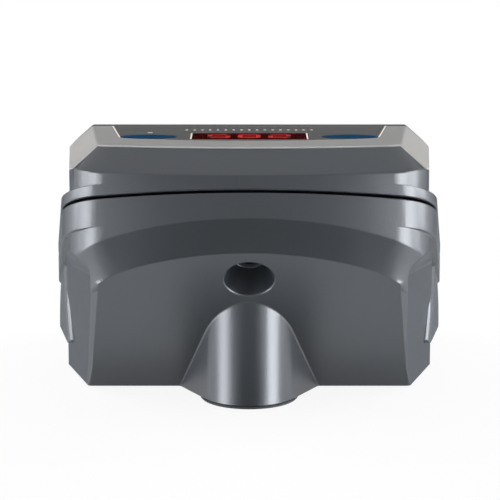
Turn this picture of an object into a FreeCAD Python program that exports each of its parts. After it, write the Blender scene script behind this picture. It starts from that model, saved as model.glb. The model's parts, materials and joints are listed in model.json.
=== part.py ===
"""Compact note counting machine: a hollow two-part case with a tilted control panel, a note table in front,
a finger rotor driven by gears from an upright motor in the rear bulge, and a sliding note clamp.

Millimetres, +Z up, the user stands on the -Y side, origin under the middle of the bounding box.
"""

import FreeCAD
import Part

import math
import os

V = FreeCAD.Vector

# Overall size, walls and clearances
DEPTH = 136.0
WALL = 2.4
FIT = 0.3
RUN = 0.05
PAST = 1.0
BASE_Z = 1.0
REAR_Y = DEPTH / 2
FRONT_Y = -DEPTH / 2

# Plan of the case: bowed rear, rounded corners, sides that flare to the front.
# Half widths are given beside the rear corners and at the front.
TABLE_L = 48.0
BODY_FRONT_Y = FRONT_Y + TABLE_L
SIDE_BACK = 26.0
SIDE_REF_Y = REAR_Y - SIDE_BACK
BOW_R = 190.0
CORNER_R = 19.0
FRONT_R = 5.0
LEAST_R = 0.6
UPPER_HALF = (64.3, 68.0)
BAND_PROUD = (3.0, 5.0)
BLOCK_PROUD = (1.3, 1.6)
BAND_HALF = (UPPER_HALF[0] + BAND_PROUD[0], UPPER_HALF[1] + BAND_PROUD[1])
BLOCK_HALF = (UPPER_HALF[0] + BLOCK_PROUD[0], UPPER_HALF[1] + BLOCK_PROUD[1])
NARROW_HALF = min(BLOCK_HALF)

# Split between the two halves, with a raised band on both sides of it and a seal in it
SEAM_Z = 85.0
SEAM_TILT = 27.0
SEAM_GAP = 0.9
BAND_UP = 3.6
BAND_DOWN = 9.0
BAND_START = 40.0
SEAL_INSET = 0.9
SEAL_BACK = 0.1
SEAL_T = WALL - SEAL_INSET - SEAL_BACK

# Underside that slopes in below the rear, with its bevel, two cheeks and the shoulders that end them
CHIN_BACK = 47.0
CHIN_Y = REAR_Y - CHIN_BACK
CHIN_TILT = 35.2
CHIN_BEVEL = 7.5
CHIN_IN = 5.8
CHEEK_TOP_IN = 9.8
CHEEK_TOP_Z = 50.5
CHEEK_OUT_IN = 1.3
CHEEK_RUN = 28.0
SHOULDER_IN = 3.1
SHOULDER_BACK = 16.0
SHOULDER_Z = 58.3
SHOULDER_N = (0.65, 0.27, -0.71)
CREASE_R = 8.0
DEEP_WALL = 4.0
CORNER_KEEP = 8.0

# Upright bulge round the motor
MOTOR_D = 27.7
MOTOR_L = 38.0
MOTOR_GAP = 1.55
BULGE_WALL = 2.6
WELL_R = MOTOR_D / 2 + MOTOR_GAP
BULGE_R = WELL_R + BULGE_WALL
BULGE_BACK = 37.5
BULGE_Y = REAR_Y - BULGE_BACK
BULGE_FLARE = 7.7
BULGE_ROOT = 12.0
BULGE_OVER = 2.2
BULGE_CAP_T = 2.4

# Conical power recess in the sloping underside, and the inlet behind it
RECESS_D = 18.0
RECESS_FLOOR_D = 12.0
RECESS_DEPTH = 11.0
RECESS_Z = 50.2
RECESS_WALL = 1.6
JACK_D = 8.0
JACK_BORE_D = 6.0
JACK_BORE_L = 8.5
JACK_PIN_D = 2.0
JACK_PIN_IN = 2.0
JACK_PROUD = 1.0
JACK_BLOCK = (10.0, 11.0, 11.4)
JACK_FIT = 0.2

# Control panel on top, with a bevelled facet on each side
RIM_BACK = 9.0
RIM_Y = REAR_Y - RIM_BACK
RIM_Z = 98.7
RIM_R = 2.0
WALL_TOP_Z = 90.4
ROOF_OVER = 2.0
ROOF_OUT = 15.0
BROW_TILT = 3.0
PANEL_TILT = 5.0
PANEL_IN = (8.7, 10.7)
PANEL_HALF = (UPPER_HALF[1] - PANEL_IN[0], UPPER_HALF[0] - PANEL_IN[1])
FACET_OUT = 8.8
FACET_DOWN = 7.8
FACET_BACK = 8.0
BEZEL_T = 0.6
FRONT_LIP = 2.2
LIP_PROUD = 0.4
HEADROOM = 30.0
SKY = RIM_Z + HEADROOM

# Panel pieces in the panel's own plane: u to the right, v to the rear, w up from the panel
WINDOW_W = 42.8
WINDOW_H = 21.4
WINDOW_V = 1.3
WINDOW_T = 1.6
WINDOW_REST = 2.1
KEY_W = 20.0
KEY_H = 12.5
KEY_END_R = 4.2
KEY_GAP = 5.1
KEY_X = WINDOW_W / 2 + KEY_GAP + KEY_W / 2
KEY_V = 4.0
KEY_PROUD = 0.3
KEY_EDGE = 0.5
KEY_TRAVEL = 0.8
KEY_REST = 0.1
KEY_FLANGE = 1.2
KEY_FLANGE_T = 1.3
KEY_STEM_D = 3.4
OVERLAY_T = 0.3
OVERLAY_OUT = (5.2, 0.7)
OVERLAY_HALF = (KEY_X + KEY_W / 2 + OVERLAY_OUT[0], KEY_X + KEY_W / 2 + OVERLAY_OUT[1])
OVERLAY_LIP = 0.9
OVERLAY_REAR = 6.0
OVERLAY_BOW = 11.0
OVERLAY_FIT = 0.1
OVERLAY_HOLE = 0.25
STATUS_D = 2.0
STATUS_V = -11.5
STATUS_FLANGE_D = 3.0
STATUS_FLANGE_T = 3.0
STATUS_LEG_D = 1.6
STATUS_PROUD = 0.1
BOARD_DROP = 10.6
BOARD_T = 1.6
BOARD_OUT = 3.5
BOARD_HALF = KEY_X + KEY_W / 2 + BOARD_OUT
BOARD_V = (-18.0, 20.0)
BOARD_POST_D = 6.0
BOARD_POST_IN = 3.0
REAR_POST_U = 30.0
REAR_POST_IN = 3.5
LED_IN = (8.2, 2.4)
SWITCH_W = 6.0
SWITCH_H = 4.0
SWITCH_CAP_D = 3.2
SWITCH_CAP_H = 0.6

# Grip pads low on the sides
PAD_PROUD = (2.5, 1.5)
PAD_CROWN = 1.2
PAD_Z = (14.0, 58.0)
PAD_FRONT = 4.0
PAD_L = 24.0
PAD_BEVEL = 1.5
PAD_BELOW_SEAM = 2.0

# Note table in front
TABLE_IN = 3.6
TABLE_HALF = BLOCK_HALF[1] - TABLE_IN
TABLE_TOP = 14.0
TABLE_R = 12.0
TABLE_EDGE_R = 1.6
TABLE_SKIN = 2.2
TABLE_FLOOR_T = 1.6
ROD_D = 4.0
ROD_Z = 6.6
ROD_REST = (1.0, 0.8)
ROD_RIB = (8.0, 3.0)
RIB_FOOT = 1.8

# Front panel with the rotor window and the infrared eyes
OPENING_IN = 11.6
OPENING_HALF = NARROW_HALF - OPENING_IN
OPENING_OVER = 0.6
OPENING_Z = (TABLE_TOP + OPENING_OVER, 80.0)
PANEL_SET = 0.6
PANEL_LAP = 0.2
FLANGE_T = 1.8
FLANGE_OUT = 4.0
FLANGE_IN = 2.0
FLANGE_END = 3.0
ROTOR_WINDOW = 24.0
WINDOW_SILL = 2.0
WINDOW_OVER = 1.0
EYE_D = 4.0
EYE_FLANGE_D = 5.4
EYE_L = 4.0
EYE_GAP = 6.0
EYE_Z = (24.0, 38.0)

# Chassis plate, posts and screws
PLATE_LOW = 44.0
PLATE_T = 2.0
PLATE_Z = (PLATE_LOW, PLATE_LOW + PLATE_T)
PLATE_IN = 4.6
PLATE_TAPER = 21.0
PLATE_HALF = (NARROW_HALF - PLATE_IN, NARROW_HALF - PLATE_IN - PLATE_TAPER)
PLATE_FRONT = 6.0
PLATE_WAIST = 5.0
PLATE_OVER = 9.5
POST_D = 9.0
POST_IN = 6.0
POST_BACK = 12.0
POST_FRONT = 10.0
SCREW_D = 2.6
SCREW_HOLE_D = 3.2
SCREW_L = 10.0
SCREW_HEAD_D = 5.6
SCREW_HEAD_H = 2.0
SCREW_BEVEL = 0.8
BORE_OVER = 4.0

# Drive train
MODULE = 0.8
PRESSURE_ANGLE = 20.0
ADDENDUM = 0.9
DEDENDUM = 1.2
FLANK_STEPS = 4
PINION_TEETH = 18
ROTOR_TEETH = 20
TRAIN_SLACK = 1.03
BACKLASH = 0.16
GEAR_LIFT = 3.0
GEAR_W = 5.0
GEAR_Z = (PLATE_Z[1] + GEAR_LIFT, PLATE_Z[1] + GEAR_LIFT + GEAR_W)
MOTOR_FACE = (20.0, 0.6)
MOTOR_COLLAR = (9.6, 1.4)
MOTOR_TAIL_H = 1.6
MOTOR_EDGE = 1.0
SHAFT_D = 3.0
SHAFT_IN = 10.0
SHAFT_OVER = 1.5
STUD_D = 4.0
STUD_SHOULDER_D = 8.0
STUD_HEAD_D = 7.0
STUD_HEAD_H = 1.3
IDLER_HUB_D = 9.0
IDLER_RIM = 3.0
IDLER_POCKET = 1.4
ROTOR_IN = 33.0
ROTOR_X = PLATE_HALF[0] - ROTOR_IN
ROTOR_BACK = 14.5
ROTOR_Y = BODY_FRONT_Y + ROTOR_BACK
ROTOR_SHAFT_D = 5.0
ROTOR_SHAFT_OVER = 3.0
DRUM_R = 9.0
DRUM_Z = (20.0, 42.0)
DRUM_EDGE = 0.8
FINGER_R = 22.0
FINGERS = 4
FINGER_T = 2.2
FINGER_ROOT = 3.0
FINGER_SWEEP = 5.4
FINGER_IN = 1.0
FINGER_TURN = 20.0
BUSH_D = 8.0
BUSH_FLANGE_D = 11.0
BUSH_FLANGE_T = 1.6
BUSH_FLOOR = 0.8
BUSH_BELOW = 6.0
BUSH_POST_D = 13.0
BUSH_LIFT = 0.6
UPPER_BUSH_D = 9.0
UPPER_BUSH_FLANGE = (12.0, 1.4)

# Main board on its spacers
MAIN_BOARD_LIFT = 20.0
MAIN_BOARD_IN = 13.0
MAIN_BOARD_FRONT = 10.0
MAIN_BOARD_BACK = 2.5
SPACER_D = 5.5
SPACER_PIN_D = 3.0
SPACER_PIN_OVER = 0.8
SPACER_IN = 4.0

# Sliding clamp
CLAMP_IN = 8.0
CLAMP_W = 50.0
CLAMP_X = (CLAMP_IN - TABLE_HALF, CLAMP_IN - TABLE_HALF + CLAMP_W)
CLAMP_BACK = 10.0
CLAMP_Y = FRONT_Y + CLAMP_BACK
CLAMP_TRAVEL = 23.0
CLAMP_TOP = 56.0
CLAMP_T = 3.0
CLAMP_R = 8.0
CLAMP_LIFT = 1.0
ROD_IN = 8.0
ROD_X = (CLAMP_X[0] + ROD_IN, CLAMP_X[1] - ROD_IN)
ARM_W = 12.0
ARM_L = 6.0
ARM_FOOT = 3.0
SLOT_FIT = 0.6
CARRIAGE_L = 12.0
CARRIAGE_OUT = 4.5
CARRIAGE_FRONT = 3.0
CARRIAGE_GAP = 0.5
TAB = (18.0, 7.0, 3.0)
TAB_BELOW = 3.0
PAD_T = 2.0
PAD_IN = (4.0, 4.0, 8.0)

# Feet
FOOT_D = 10.0
FOOT_BEVEL = 0.4
FOOT_IN = 10.0
FOOT_FRONT = 14.0
FOOT_BACK = 15.0

# Directions and places shared by several pieces
FAR = 4 * DEPTH
SEAM_N = V(0, -math.sin(math.radians(SEAM_TILT)), math.cos(math.radians(SEAM_TILT)))
SEAM_P = V(0, REAR_Y, SEAM_Z)
CHIN_N = V(0, math.cos(math.radians(CHIN_TILT)), -math.sin(math.radians(CHIN_TILT)))
CHIN_P = V(0, CHIN_Y, BASE_Z)
CHIN_SLOPE = math.tan(math.radians(CHIN_TILT))
PANEL_N = V(0, -math.sin(math.radians(PANEL_TILT)), math.cos(math.radians(PANEL_TILT)))
PANEL_SLOPE = math.tan(math.radians(PANEL_TILT))
PANEL_Y = (BODY_FRONT_Y + RIM_Y) / 2
UNDERSIDE_W = -BEZEL_T - WALL
LIP_V = (BODY_FRONT_Y + FRONT_LIP - PANEL_Y) / math.cos(math.radians(PANEL_TILT))
OVERLAY_V = (LIP_V + OVERLAY_LIP, OVERLAY_REAR)
BOARD_W = (-BOARD_DROP - BOARD_T, -BOARD_DROP)
BULGE_TOP = BASE_Z + (BULGE_Y + BULGE_R - CHIN_Y) / CHIN_SLOPE + BULGE_OVER
FLOOR_Z = BASE_Z + WALL
POST_Y = (BODY_FRONT_Y + POST_BACK, CHIN_Y - POST_FRONT)
POSTS = [(s * (PLATE_HALF[0] - POST_IN), y) for y in POST_Y for s in (-1, 1)]
BOARD_POSTS = [(s * (BOARD_HALF - BOARD_POST_IN), BOARD_V[0] + BOARD_POST_IN) for s in (-1, 1)]
BOARD_POSTS += [(s * REAR_POST_U, BOARD_V[1] - REAR_POST_IN) for s in (-1, 1)]
MAIN_BOARD_Z = PLATE_Z[1] + MAIN_BOARD_LIFT
MAIN_BOARD_HALF = PLATE_HALF[0] - MAIN_BOARD_IN
MAIN_BOARD_Y = (BODY_FRONT_Y + MAIN_BOARD_FRONT, BULGE_Y - MAIN_BOARD_BACK)
SPACERS = [
    (s * (MAIN_BOARD_HALF - SPACER_IN), y)
    for s in (-1, 1)
    for y in (MAIN_BOARD_Y[0] + SPACER_IN, MAIN_BOARD_Y[1] - SPACER_IN)
]
CLAMP_MID = sum(CLAMP_X) / 2
EYE_X = ROTOR_X - ROTOR_WINDOW - EYE_GAP
FENCE_Y = (BODY_FRONT_Y + PANEL_SET, BODY_FRONT_Y + WALL + PANEL_LAP)

# The idler has the teeth that it needs to bridge the motor and the rotor
SPAN = math.hypot(ROTOR_X, ROTOR_Y - BULGE_Y)
IDLER_TEETH = 2 * math.ceil((SPAN * TRAIN_SLACK / MODULE - (PINION_TEETH + ROTOR_TEETH) / 2) / 2)
TO_PINION = (PINION_TEETH + IDLER_TEETH) * MODULE / 2
TO_ROTOR = (IDLER_TEETH + ROTOR_TEETH) * MODULE / 2
TRAIN_BEND = math.acos((TO_PINION**2 + SPAN**2 - TO_ROTOR**2) / (2 * TO_PINION * SPAN))
TRAIN_TURN = math.atan2(ROTOR_Y - BULGE_Y, ROTOR_X) - TRAIN_BEND
IDLER_X = TO_PINION * math.cos(TRAIN_TURN)
IDLER_Y = BULGE_Y + TO_PINION * math.sin(TRAIN_TURN)


def box(x0, x1, y0, y1, z0, z1):
    """Box between two corners."""
    return Part.makeBox(x1 - x0, y1 - y0, z1 - z0, V(x0, y0, z0))


def rod(d, z0, z1, x=0.0, y=0.0):
    """Upright cylinder."""
    return Part.makeCylinder(d / 2, z1 - z0, V(x, y, z0))


def rod_y(d, y0, y1, x, z):
    """Cylinder along Y."""
    return Part.makeCylinder(d / 2, y1 - y0, V(x, y0, z), V(0, 1, 0))


def turned(profile, x=0.0, y=0.0):
    """Turned piece: a ring of (radius, height) points swept once round an upright axis."""
    ring = [V(r, 0, z) for r, z in profile]
    piece = Part.Face(Part.makePolygon(ring + ring[:1])).revolve(V(0, 0, 0), V(0, 0, 1), 360)
    piece.translate(V(x, y, 0))
    return piece


def line(a, b):
    return Part.LineSegment(V(*a), V(*b)).toShape()


def arc(a, m, b):
    return Part.Arc(V(*a), V(*m), V(*b)).toShape()


def wire_of(edges):
    """Closed chain of edges."""
    return Part.Wire(Part.__sortEdges__(edges))


def raised(edges, z0, z1):
    """Upright prism on a closed chain of edges drawn at z = 0."""
    face = Part.Face(wire_of(edges))
    face.translate(V(0, 0, z0))
    return face.extrude(V(0, 0, z1 - z0))


def polygon(points, z0, z1):
    """Upright prism on a polygon."""
    ring = [V(x, y, z0) for x, y in points]
    return Part.Face(Part.makePolygon(ring + ring[:1])).extrude(V(0, 0, z1 - z0))


def half_space(point, normal, inset=0.0):
    """Everything behind a plane, moved inwards by the inset."""
    block = Part.makeBox(FAR, FAR, FAR, V(-FAR / 2, -FAR / 2, -FAR))
    normal = V(normal).normalize()
    turn = FreeCAD.Rotation(V(0, 0, 1), normal)
    block.Placement = FreeCAD.Placement(V(point) - normal * inset, turn)
    return block


def flip(v):
    """A point or direction on the other side of the machine."""
    return V(-v.x, v.y, v.z)


def keep(v):
    return V(v)


def mirrored(shape):
    return shape.mirror(V(0, 0, 0), V(1, 0, 0))


def joined(shapes):
    """One solid from many that touch or overlap."""
    return shapes[0].fuse(shapes[1:]).removeSplitter()


def faces_beside(shape, edge):
    return shape.ancestorsOfType(edge, Part.Face)


def looks_along(face, direction):
    """Whether a face is a plane square to a direction."""
    return isinstance(face.Surface, Part.Plane) and abs(face.normalAt(0, 0).dot(direction)) > 0.9999


def is_upright(edge):
    return abs(edge.tangentAt(edge.FirstParameter).z) > 0.9999


def plan(half, inset=0.0):
    """Case plan at z = 0: rear arc, corner arcs, flared sides and a straight front."""
    centre = V(0, REAR_Y - BOW_R, 0)
    a = V(half[0], SIDE_REF_Y, 0)
    b = V(half[1], BODY_FRONT_Y, 0)
    d = (b - a).normalize()
    n = V(d.y, -d.x, 0)
    m = a + n * CORNER_R - centre
    along = m.dot(d)
    t = -along - math.sqrt(along**2 - m.dot(m) + (BOW_R - CORNER_R) ** 2)
    c = a + n * CORNER_R + d * t
    out = (c - centre).normalize()
    r = CORNER_R - inset
    p_rear = centre + out * (BOW_R - inset)
    p_side = c - n * r
    p_mid = c + (out - n).normalize() * r
    start = a + n * FRONT_R
    r_front = max(FRONT_R - inset, LEAST_R)
    shift = r_front - (FRONT_R - inset)
    c_front = start + d * ((BODY_FRONT_Y + FRONT_R - start.y) / d.y) + V(-shift, shift, 0)
    low = V(0, -1, 0)
    q_side = c_front - n * r_front
    q_front = c_front + low * r_front
    q_mid = c_front + (low - n).normalize() * r_front
    apex = V(0, REAR_Y - inset, 0)
    return [
        arc(flip(p_rear), apex, p_rear),
        arc(p_rear, p_mid, p_side),
        line(p_side, q_side),
        arc(q_side, q_mid, q_front),
        line(q_front, flip(q_front)),
        arc(flip(q_front), flip(q_mid), flip(q_side)),
        line(flip(q_side), flip(p_side)),
        arc(flip(p_side), flip(p_mid), flip(p_rear)),
    ]


def column(half, inset, z0, z1):
    """The case plan as an upright prism."""
    return raised(plan(half, inset), z0, z1)


def chin_y(z):
    """Where the sloping underside is at a height."""
    return CHIN_Y + (z - BASE_Z) * CHIN_SLOPE


def panel_z(y):
    """Height of the panel plane."""
    return RIM_Z + (y - RIM_Y) * PANEL_SLOPE


def below_seam(offset):
    return half_space(SEAM_P + SEAM_N * offset, SEAM_N)


def above_seam(offset):
    return half_space(SEAM_P + SEAM_N * offset, SEAM_N * -1)


def on_chin(shape):
    """Puts a shape made along the recess's axis into the sloping underside."""
    turn = FreeCAD.Rotation(V(0, 0, 1), CHIN_N)
    place = FreeCAD.Placement(V(0, chin_y(RECESS_Z), RECESS_Z), turn)
    shape.Placement = place.multiply(shape.Placement)
    return shape


def on_panel(shape):
    """Puts a shape made in the panel's own plane into the case frame."""
    turn = FreeCAD.Rotation(V(1, 0, 0), PANEL_TILT)
    place = FreeCAD.Placement(V(0, PANEL_Y, panel_z(PANEL_Y)), turn)
    shape.Placement = place.multiply(shape.Placement)
    return shape


def oval(w, h, z0, z1, x, y, grow=0.0):
    """Upright prism on an oval of four arcs."""
    a = w / 2 + grow
    b = h / 2 + grow
    end = KEY_END_R + grow
    side = (a**2 + b**2 - 2 * a * end) / (2 * (b - end))
    reach = end / (side - end)
    tx = a - end + (a - end) * reach
    ty = (side - b) * reach
    edges = [
        arc((x + tx, y - ty, 0), (x + a, y, 0), (x + tx, y + ty, 0)),
        arc((x + tx, y + ty, 0), (x, y + b, 0), (x - tx, y + ty, 0)),
        arc((x - tx, y + ty, 0), (x - a, y, 0), (x - tx, y - ty, 0)),
        arc((x - tx, y - ty, 0), (x, y - b, 0), (x + tx, y - ty, 0)),
    ]
    return raised(edges, z0, z1)


def front_opening(z0, z1):
    """Cut for the front panel through the front wall."""
    return box(-OPENING_HALF, OPENING_HALF, BODY_FRONT_Y - PAST, BODY_FRONT_Y + WALL + PAST / 2, z0, z1)


def band(low, high):
    """Raised band along the split, which runs out into the bowed rear wall."""
    ring = column(BAND_HALF, 0.0, BASE_Z, SKY).common(below_seam(high)).common(above_seam(low))
    return ring.cut(box(-BAND_START, BAND_START, 0.0, REAR_Y + PAST, BASE_Z, SKY))


def bevelled_block():
    """Solid below the split, cut by the sloping underside and bevelled along that cut."""
    core = column(BLOCK_HALF, 0.0, BASE_Z, SKY).common(below_seam(-SEAM_GAP / 2))
    core = core.common(half_space(CHIN_P, CHIN_N))
    chin = max((f for f in core.Faces if looks_along(f, CHIN_N)), key=lambda f: f.Area)
    edge = [e for e in chin.Edges if e.BoundBox.ZMax > BASE_Z + PAST]
    return core.makeChamfer(CHIN_BEVEL, edge)


def cheek_plane():
    """Point and outward normal of the right cheek."""
    a = V(BLOCK_HALF[0] - CHIN_IN, CHIN_Y, BASE_Z)
    b = V(BLOCK_HALF[0] - CHEEK_TOP_IN, chin_y(CHEEK_TOP_Z), CHEEK_TOP_Z)
    c = V(BLOCK_HALF[1] - CHEEK_OUT_IN, CHIN_Y - CHEEK_RUN, BASE_Z)
    n = (c - a).cross(b - a).normalize()
    return a, n if n.x > 0 else n * -1


def shoulder_plane():
    """Point and outward normal of the shoulder that ends the right cheek under the rear corner."""
    point = V(BLOCK_HALF[0] - SHOULDER_IN, REAR_Y - SHOULDER_BACK, SHOULDER_Z)
    return point, V(*SHOULDER_N).normalize()


def between_cheeks(shape, inset):
    """The part of a shape that lies between the two cheeks."""
    a, n = cheek_plane()
    for side in (keep, flip):
        shape = shape.common(half_space(side(a), side(n), inset))
    return shape


def with_cheeks(shape):
    """Cuts both cheeks up to their shoulders and rounds the inner corner between them."""
    a, n = cheek_plane()
    p, m = shoulder_plane()
    for side in (keep, flip):
        waste = half_space(side(a), side(n) * -1).common(half_space(side(p), side(m) * -1))
        shape = shape.cut(waste)

    def is_crease(e, side):
        faces = faces_beside(shape, e)
        return all(any(looks_along(f, side(d)) for f in faces) for d in (n, m))

    crease = [e for e in shape.Edges if any(is_crease(e, side) for side in (keep, flip))]
    return shape.makeFillet(CREASE_R, crease)


def bulge():
    """Upright half-round bulge with tangent flanks that run into the sloping underside."""
    foot_half = BULGE_R + BULGE_FLARE
    dy = CHIN_Y - BULGE_Y
    turn = math.atan2(dy, foot_half) + math.acos(BULGE_R / math.hypot(foot_half, dy))
    tx = BULGE_R * math.cos(turn)
    ty = BULGE_Y + BULGE_R * math.sin(turn)
    root_y = CHIN_Y - BULGE_ROOT
    root_half = foot_half + (foot_half - tx) / (CHIN_Y - ty) * (root_y - CHIN_Y)
    edges = [
        line((-root_half, root_y, 0), (-tx, ty, 0)),
        arc((-tx, ty, 0), (0, BULGE_Y + BULGE_R, 0), (tx, ty, 0)),
        line((tx, ty, 0), (root_half, root_y, 0)),
        line((root_half, root_y, 0), (-root_half, root_y, 0)),
    ]
    return raised(edges, BASE_Z, BULGE_TOP)


def case_hollow():
    """Inside of the lower half, a wall away from the outside."""
    step_z = SEAM_Z - BAND_DOWN
    half = NARROW_HALF - WALL
    deep = column(BLOCK_HALF, WALL + DEEP_WALL, FLOOR_Z, step_z)
    high = column(BLOCK_HALF, WALL, step_z, SKY)
    sides = box(-half, half, BODY_FRONT_Y + WALL, SIDE_REF_Y - CORNER_KEEP, FLOOR_Z, SKY)
    inside = deep.fuse([high, sides]).common(half_space(CHIN_P, CHIN_N, WALL))
    return between_cheeks(inside, WALL)


def recess_boss():
    """Walled boss behind the power recess."""
    depth = RECESS_DEPTH + RECESS_WALL
    boss = on_chin(Part.makeCylinder(RECESS_D / 2 + WALL, depth, V(0, 0, -depth)))
    return boss.common(half_space(CHIN_P, CHIN_N))


def recess_cut():
    """Cone of the recess and the hole for the inlet in its floor."""
    flare = (RECESS_D - RECESS_FLOOR_D) / 2 / RECESS_DEPTH
    mouth = RECESS_D / 2 + flare * PAST
    cone = Part.makeCone(RECESS_FLOOR_D / 2, mouth, RECESS_DEPTH + PAST, V(0, 0, -RECESS_DEPTH))
    low = -RECESS_DEPTH - RECESS_WALL - PAST
    hole = rod(JACK_D + 2 * JACK_FIT, low, -RECESS_DEPTH + PAST)
    return [on_chin(cone), on_chin(hole)]


def grip_pad():
    """Right grip pad: crowned, tapered to the rear and bevelled at its rear end."""
    root = BLOCK_HALF[0] - WALL / 2
    flare = (BLOCK_HALF[0] - BLOCK_HALF[1]) / (SIDE_REF_Y - BODY_FRONT_Y)
    y = BODY_FRONT_Y + PAD_FRONT
    end = y + PAD_L
    stations = [(y, PAD_PROUD[0], 0.0), (end, PAD_PROUD[1], 0.0), (end + PAD_BEVEL, 0.0, PAD_BEVEL)]
    sections = []
    for y, proud, trim in stations:
        crest = BLOCK_HALF[1] + flare * (y - BODY_FRONT_Y) + proud
        low = PAD_Z[0] + trim
        high = PAD_Z[1] - trim
        brow = crest - PAD_CROWN
        sections.append(wire_of([
            line((root, y, low), (brow, y, low)),
            arc((brow, y, low), (crest, y, (low + high) / 2), (brow, y, high)),
            line((brow, y, high), (root, y, high)),
            line((root, y, high), (root, y, low)),
        ]))
    pad = Part.makeLoft(sections, True, True)
    return pad.common(below_seam(-SEAM_GAP / 2 - PAD_BELOW_SEAM))


def lower_case():
    """Lower half: hollow, with the sloping underside, the bulge, the power recess, posts and grip pads."""
    lower_band = band(-SEAM_GAP / 2 - BAND_DOWN, -SEAM_GAP / 2)
    shell = joined([with_cheeks(bevelled_block()), lower_band, bulge()])
    shell = shell.cut([case_hollow(), rod(2 * WELL_R, BASE_Z - PAST, BULGE_TOP, 0, BULGE_Y)])
    bush_top = DRUM_Z[0] - BUSH_BELOW
    posts = [rod(POST_D, BASE_Z + WALL / 2, PLATE_Z[0], x, y) for x, y in POSTS]
    posts.append(rod(BUSH_POST_D, BASE_Z + WALL / 2, bush_top, ROTOR_X, ROTOR_Y))
    shell = shell.fuse(posts + [recess_boss()])
    holes = [rod(SCREW_D, PLATE_Z[1] - SCREW_L - BORE_OVER, PLATE_Z[0] + PAST, x, y) for x, y in POSTS]
    holes.append(rod(BUSH_D, FLOOR_Z + BUSH_LIFT, bush_top + PAST, ROTOR_X, ROTOR_Y))
    holes.append(front_opening(OPENING_Z[0], SKY))
    shell = shell.cut(holes + recess_cut())
    pad = grip_pad()
    return joined([shell, pad, mirrored(pad)])


def facet_plane():
    """Point and outward normal of the right facet beside the panel."""
    z_front = panel_z(BODY_FRONT_Y)
    y_rear = RIM_Y - FACET_BACK
    a = V(PANEL_HALF[0], BODY_FRONT_Y, z_front)
    b = V(PANEL_HALF[0] + FACET_OUT, BODY_FRONT_Y, z_front - FACET_DOWN)
    c = V(PANEL_HALF[1], y_rear, panel_z(y_rear))
    n = (b - a).cross(c - a).normalize()
    return a, n if n.z > 0 else n * -1


def roof(inset):
    """Case outline below the slope that runs round the rear and its corners, upright in front."""
    fall = (REAR_Y - RIM_Y) / (RIM_Z - WALL_TOP_Z)
    inward = inset * math.hypot(1.0, fall)
    foot = (-ROOF_OUT, inward - ROOF_OUT * fall)
    rise = RIM_Z - WALL_TOP_Z + ROOF_OVER
    sections = []
    for z, grow in ((-WALL_TOP_Z, foot[1]), foot, (rise, inward + rise * fall)):
        section = wire_of(plan(UPPER_HALF, grow))
        section.translate(V(0, 0, WALL_TOP_Z + z))
        sections.append(section)
    slope = Part.makeLoft(sections, True, True)
    slope.rotate(V(0, REAR_Y, WALL_TOP_Z), V(1, 0, 0), BROW_TILT)
    front = box(-FAR, FAR, -FAR, PANEL_Y, -FAR, FAR)
    return column(UPPER_HALF, inset, BASE_Z, SKY).common(joined([slope, front]))


def cap_form(drop, inset=0.0):
    """Upper case outline down to the bench, with its panel plane and facets lowered by the drop."""
    form = roof(inset).common(half_space(V(0, RIM_Y, RIM_Z), PANEL_N, drop))
    a, n = facet_plane()
    for side in (keep, flip):
        form = form.common(half_space(side(a), side(n), drop))
    return form


def faces_up(face):
    """Whether a face looks upwards, square or slanting."""
    u0, u1, v0, v1 = face.ParameterRange
    return face.normalAt((u0 + u1) / 2, (v0 + v1) / 2).z > 0.3


def rounded_cap():
    """Upper case outline with the rim of its panel and facets rounded."""
    form = cap_form(0.0)
    rim = [e for e in form.Edges if all(faces_up(f) for f in faces_beside(form, e))]
    return form.makeFillet(RIM_R, rim)


def plate_blank():
    """Light top plate before its openings: the top of the case behind its front lip."""
    blank = rounded_cap().cut(cap_form(BEZEL_T))
    return blank.common(box(-FAR, FAR, BODY_FRONT_Y + FRONT_LIP, FAR, BASE_Z, SKY))


def panel_openings(grow):
    """Holes for the window, keys and status light."""
    w = WINDOW_W / 2 + grow
    h = WINDOW_H / 2 + grow
    deep = UNDERSIDE_W - BOARD_DROP / 2
    rest = w - WINDOW_REST
    holes = [box(-w, w, WINDOW_V - h, WINDOW_V + h, -WINDOW_T, PAST)]
    holes.append(box(-rest, rest, WINDOW_V - h, WINDOW_V + h, deep, PAST))
    for side in (-1, 1):
        holes.append(oval(KEY_W, KEY_H, deep, PAST, side * KEY_X, KEY_V, grow))
    holes.append(rod(STATUS_D + 2 * grow, deep, PAST, KEY_X, STATUS_V))
    return [on_panel(h) for h in holes]


def film_form(z0, z1, grow=0.0):
    """Outline of the printed film: narrower to the rear, with a bowed rear edge."""
    h0 = OVERLAY_HALF[0] + grow
    h1 = OVERLAY_HALF[1] + grow
    v0 = OVERLAY_V[0] - grow
    v1 = OVERLAY_V[1] + grow
    edges = [
        line((-h0, v0, 0), (h0, v0, 0)),
        line((h0, v0, 0), (h1, v1, 0)),
        arc((h1, v1, 0), (0, v1 + OVERLAY_BOW, 0), (-h1, v1, 0)),
        line((-h1, v1, 0), (-h0, v0, 0)),
    ]
    return on_panel(raised(edges, z0, z1))


def upper_cover():
    """Upper half: hollow, with a lip in front, a band above the split and posts for the display board."""
    lip_y = BODY_FRONT_Y + FRONT_LIP
    lip = cap_form(-LIP_PROUD).common(box(-FAR, FAR, BODY_FRONT_Y - PAST, lip_y, BASE_Z, SKY))
    cover = joined([rounded_cap().cut(plate_blank()), lip]).common(above_seam(SEAM_GAP / 2))
    cover = joined([cover, band(SEAM_GAP / 2, SEAM_GAP / 2 + BAND_UP)])
    cover = cover.cut([cap_form(BEZEL_T + WALL, WALL), front_opening(BASE_Z, OPENING_Z[1])])
    posts = [on_panel(rod(BOARD_POST_D, BOARD_W[1], UNDERSIDE_W + WALL / 2, x, v)) for x, v in BOARD_POSTS]
    return joined([cover] + posts).cut(panel_openings(FIT))


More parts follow.
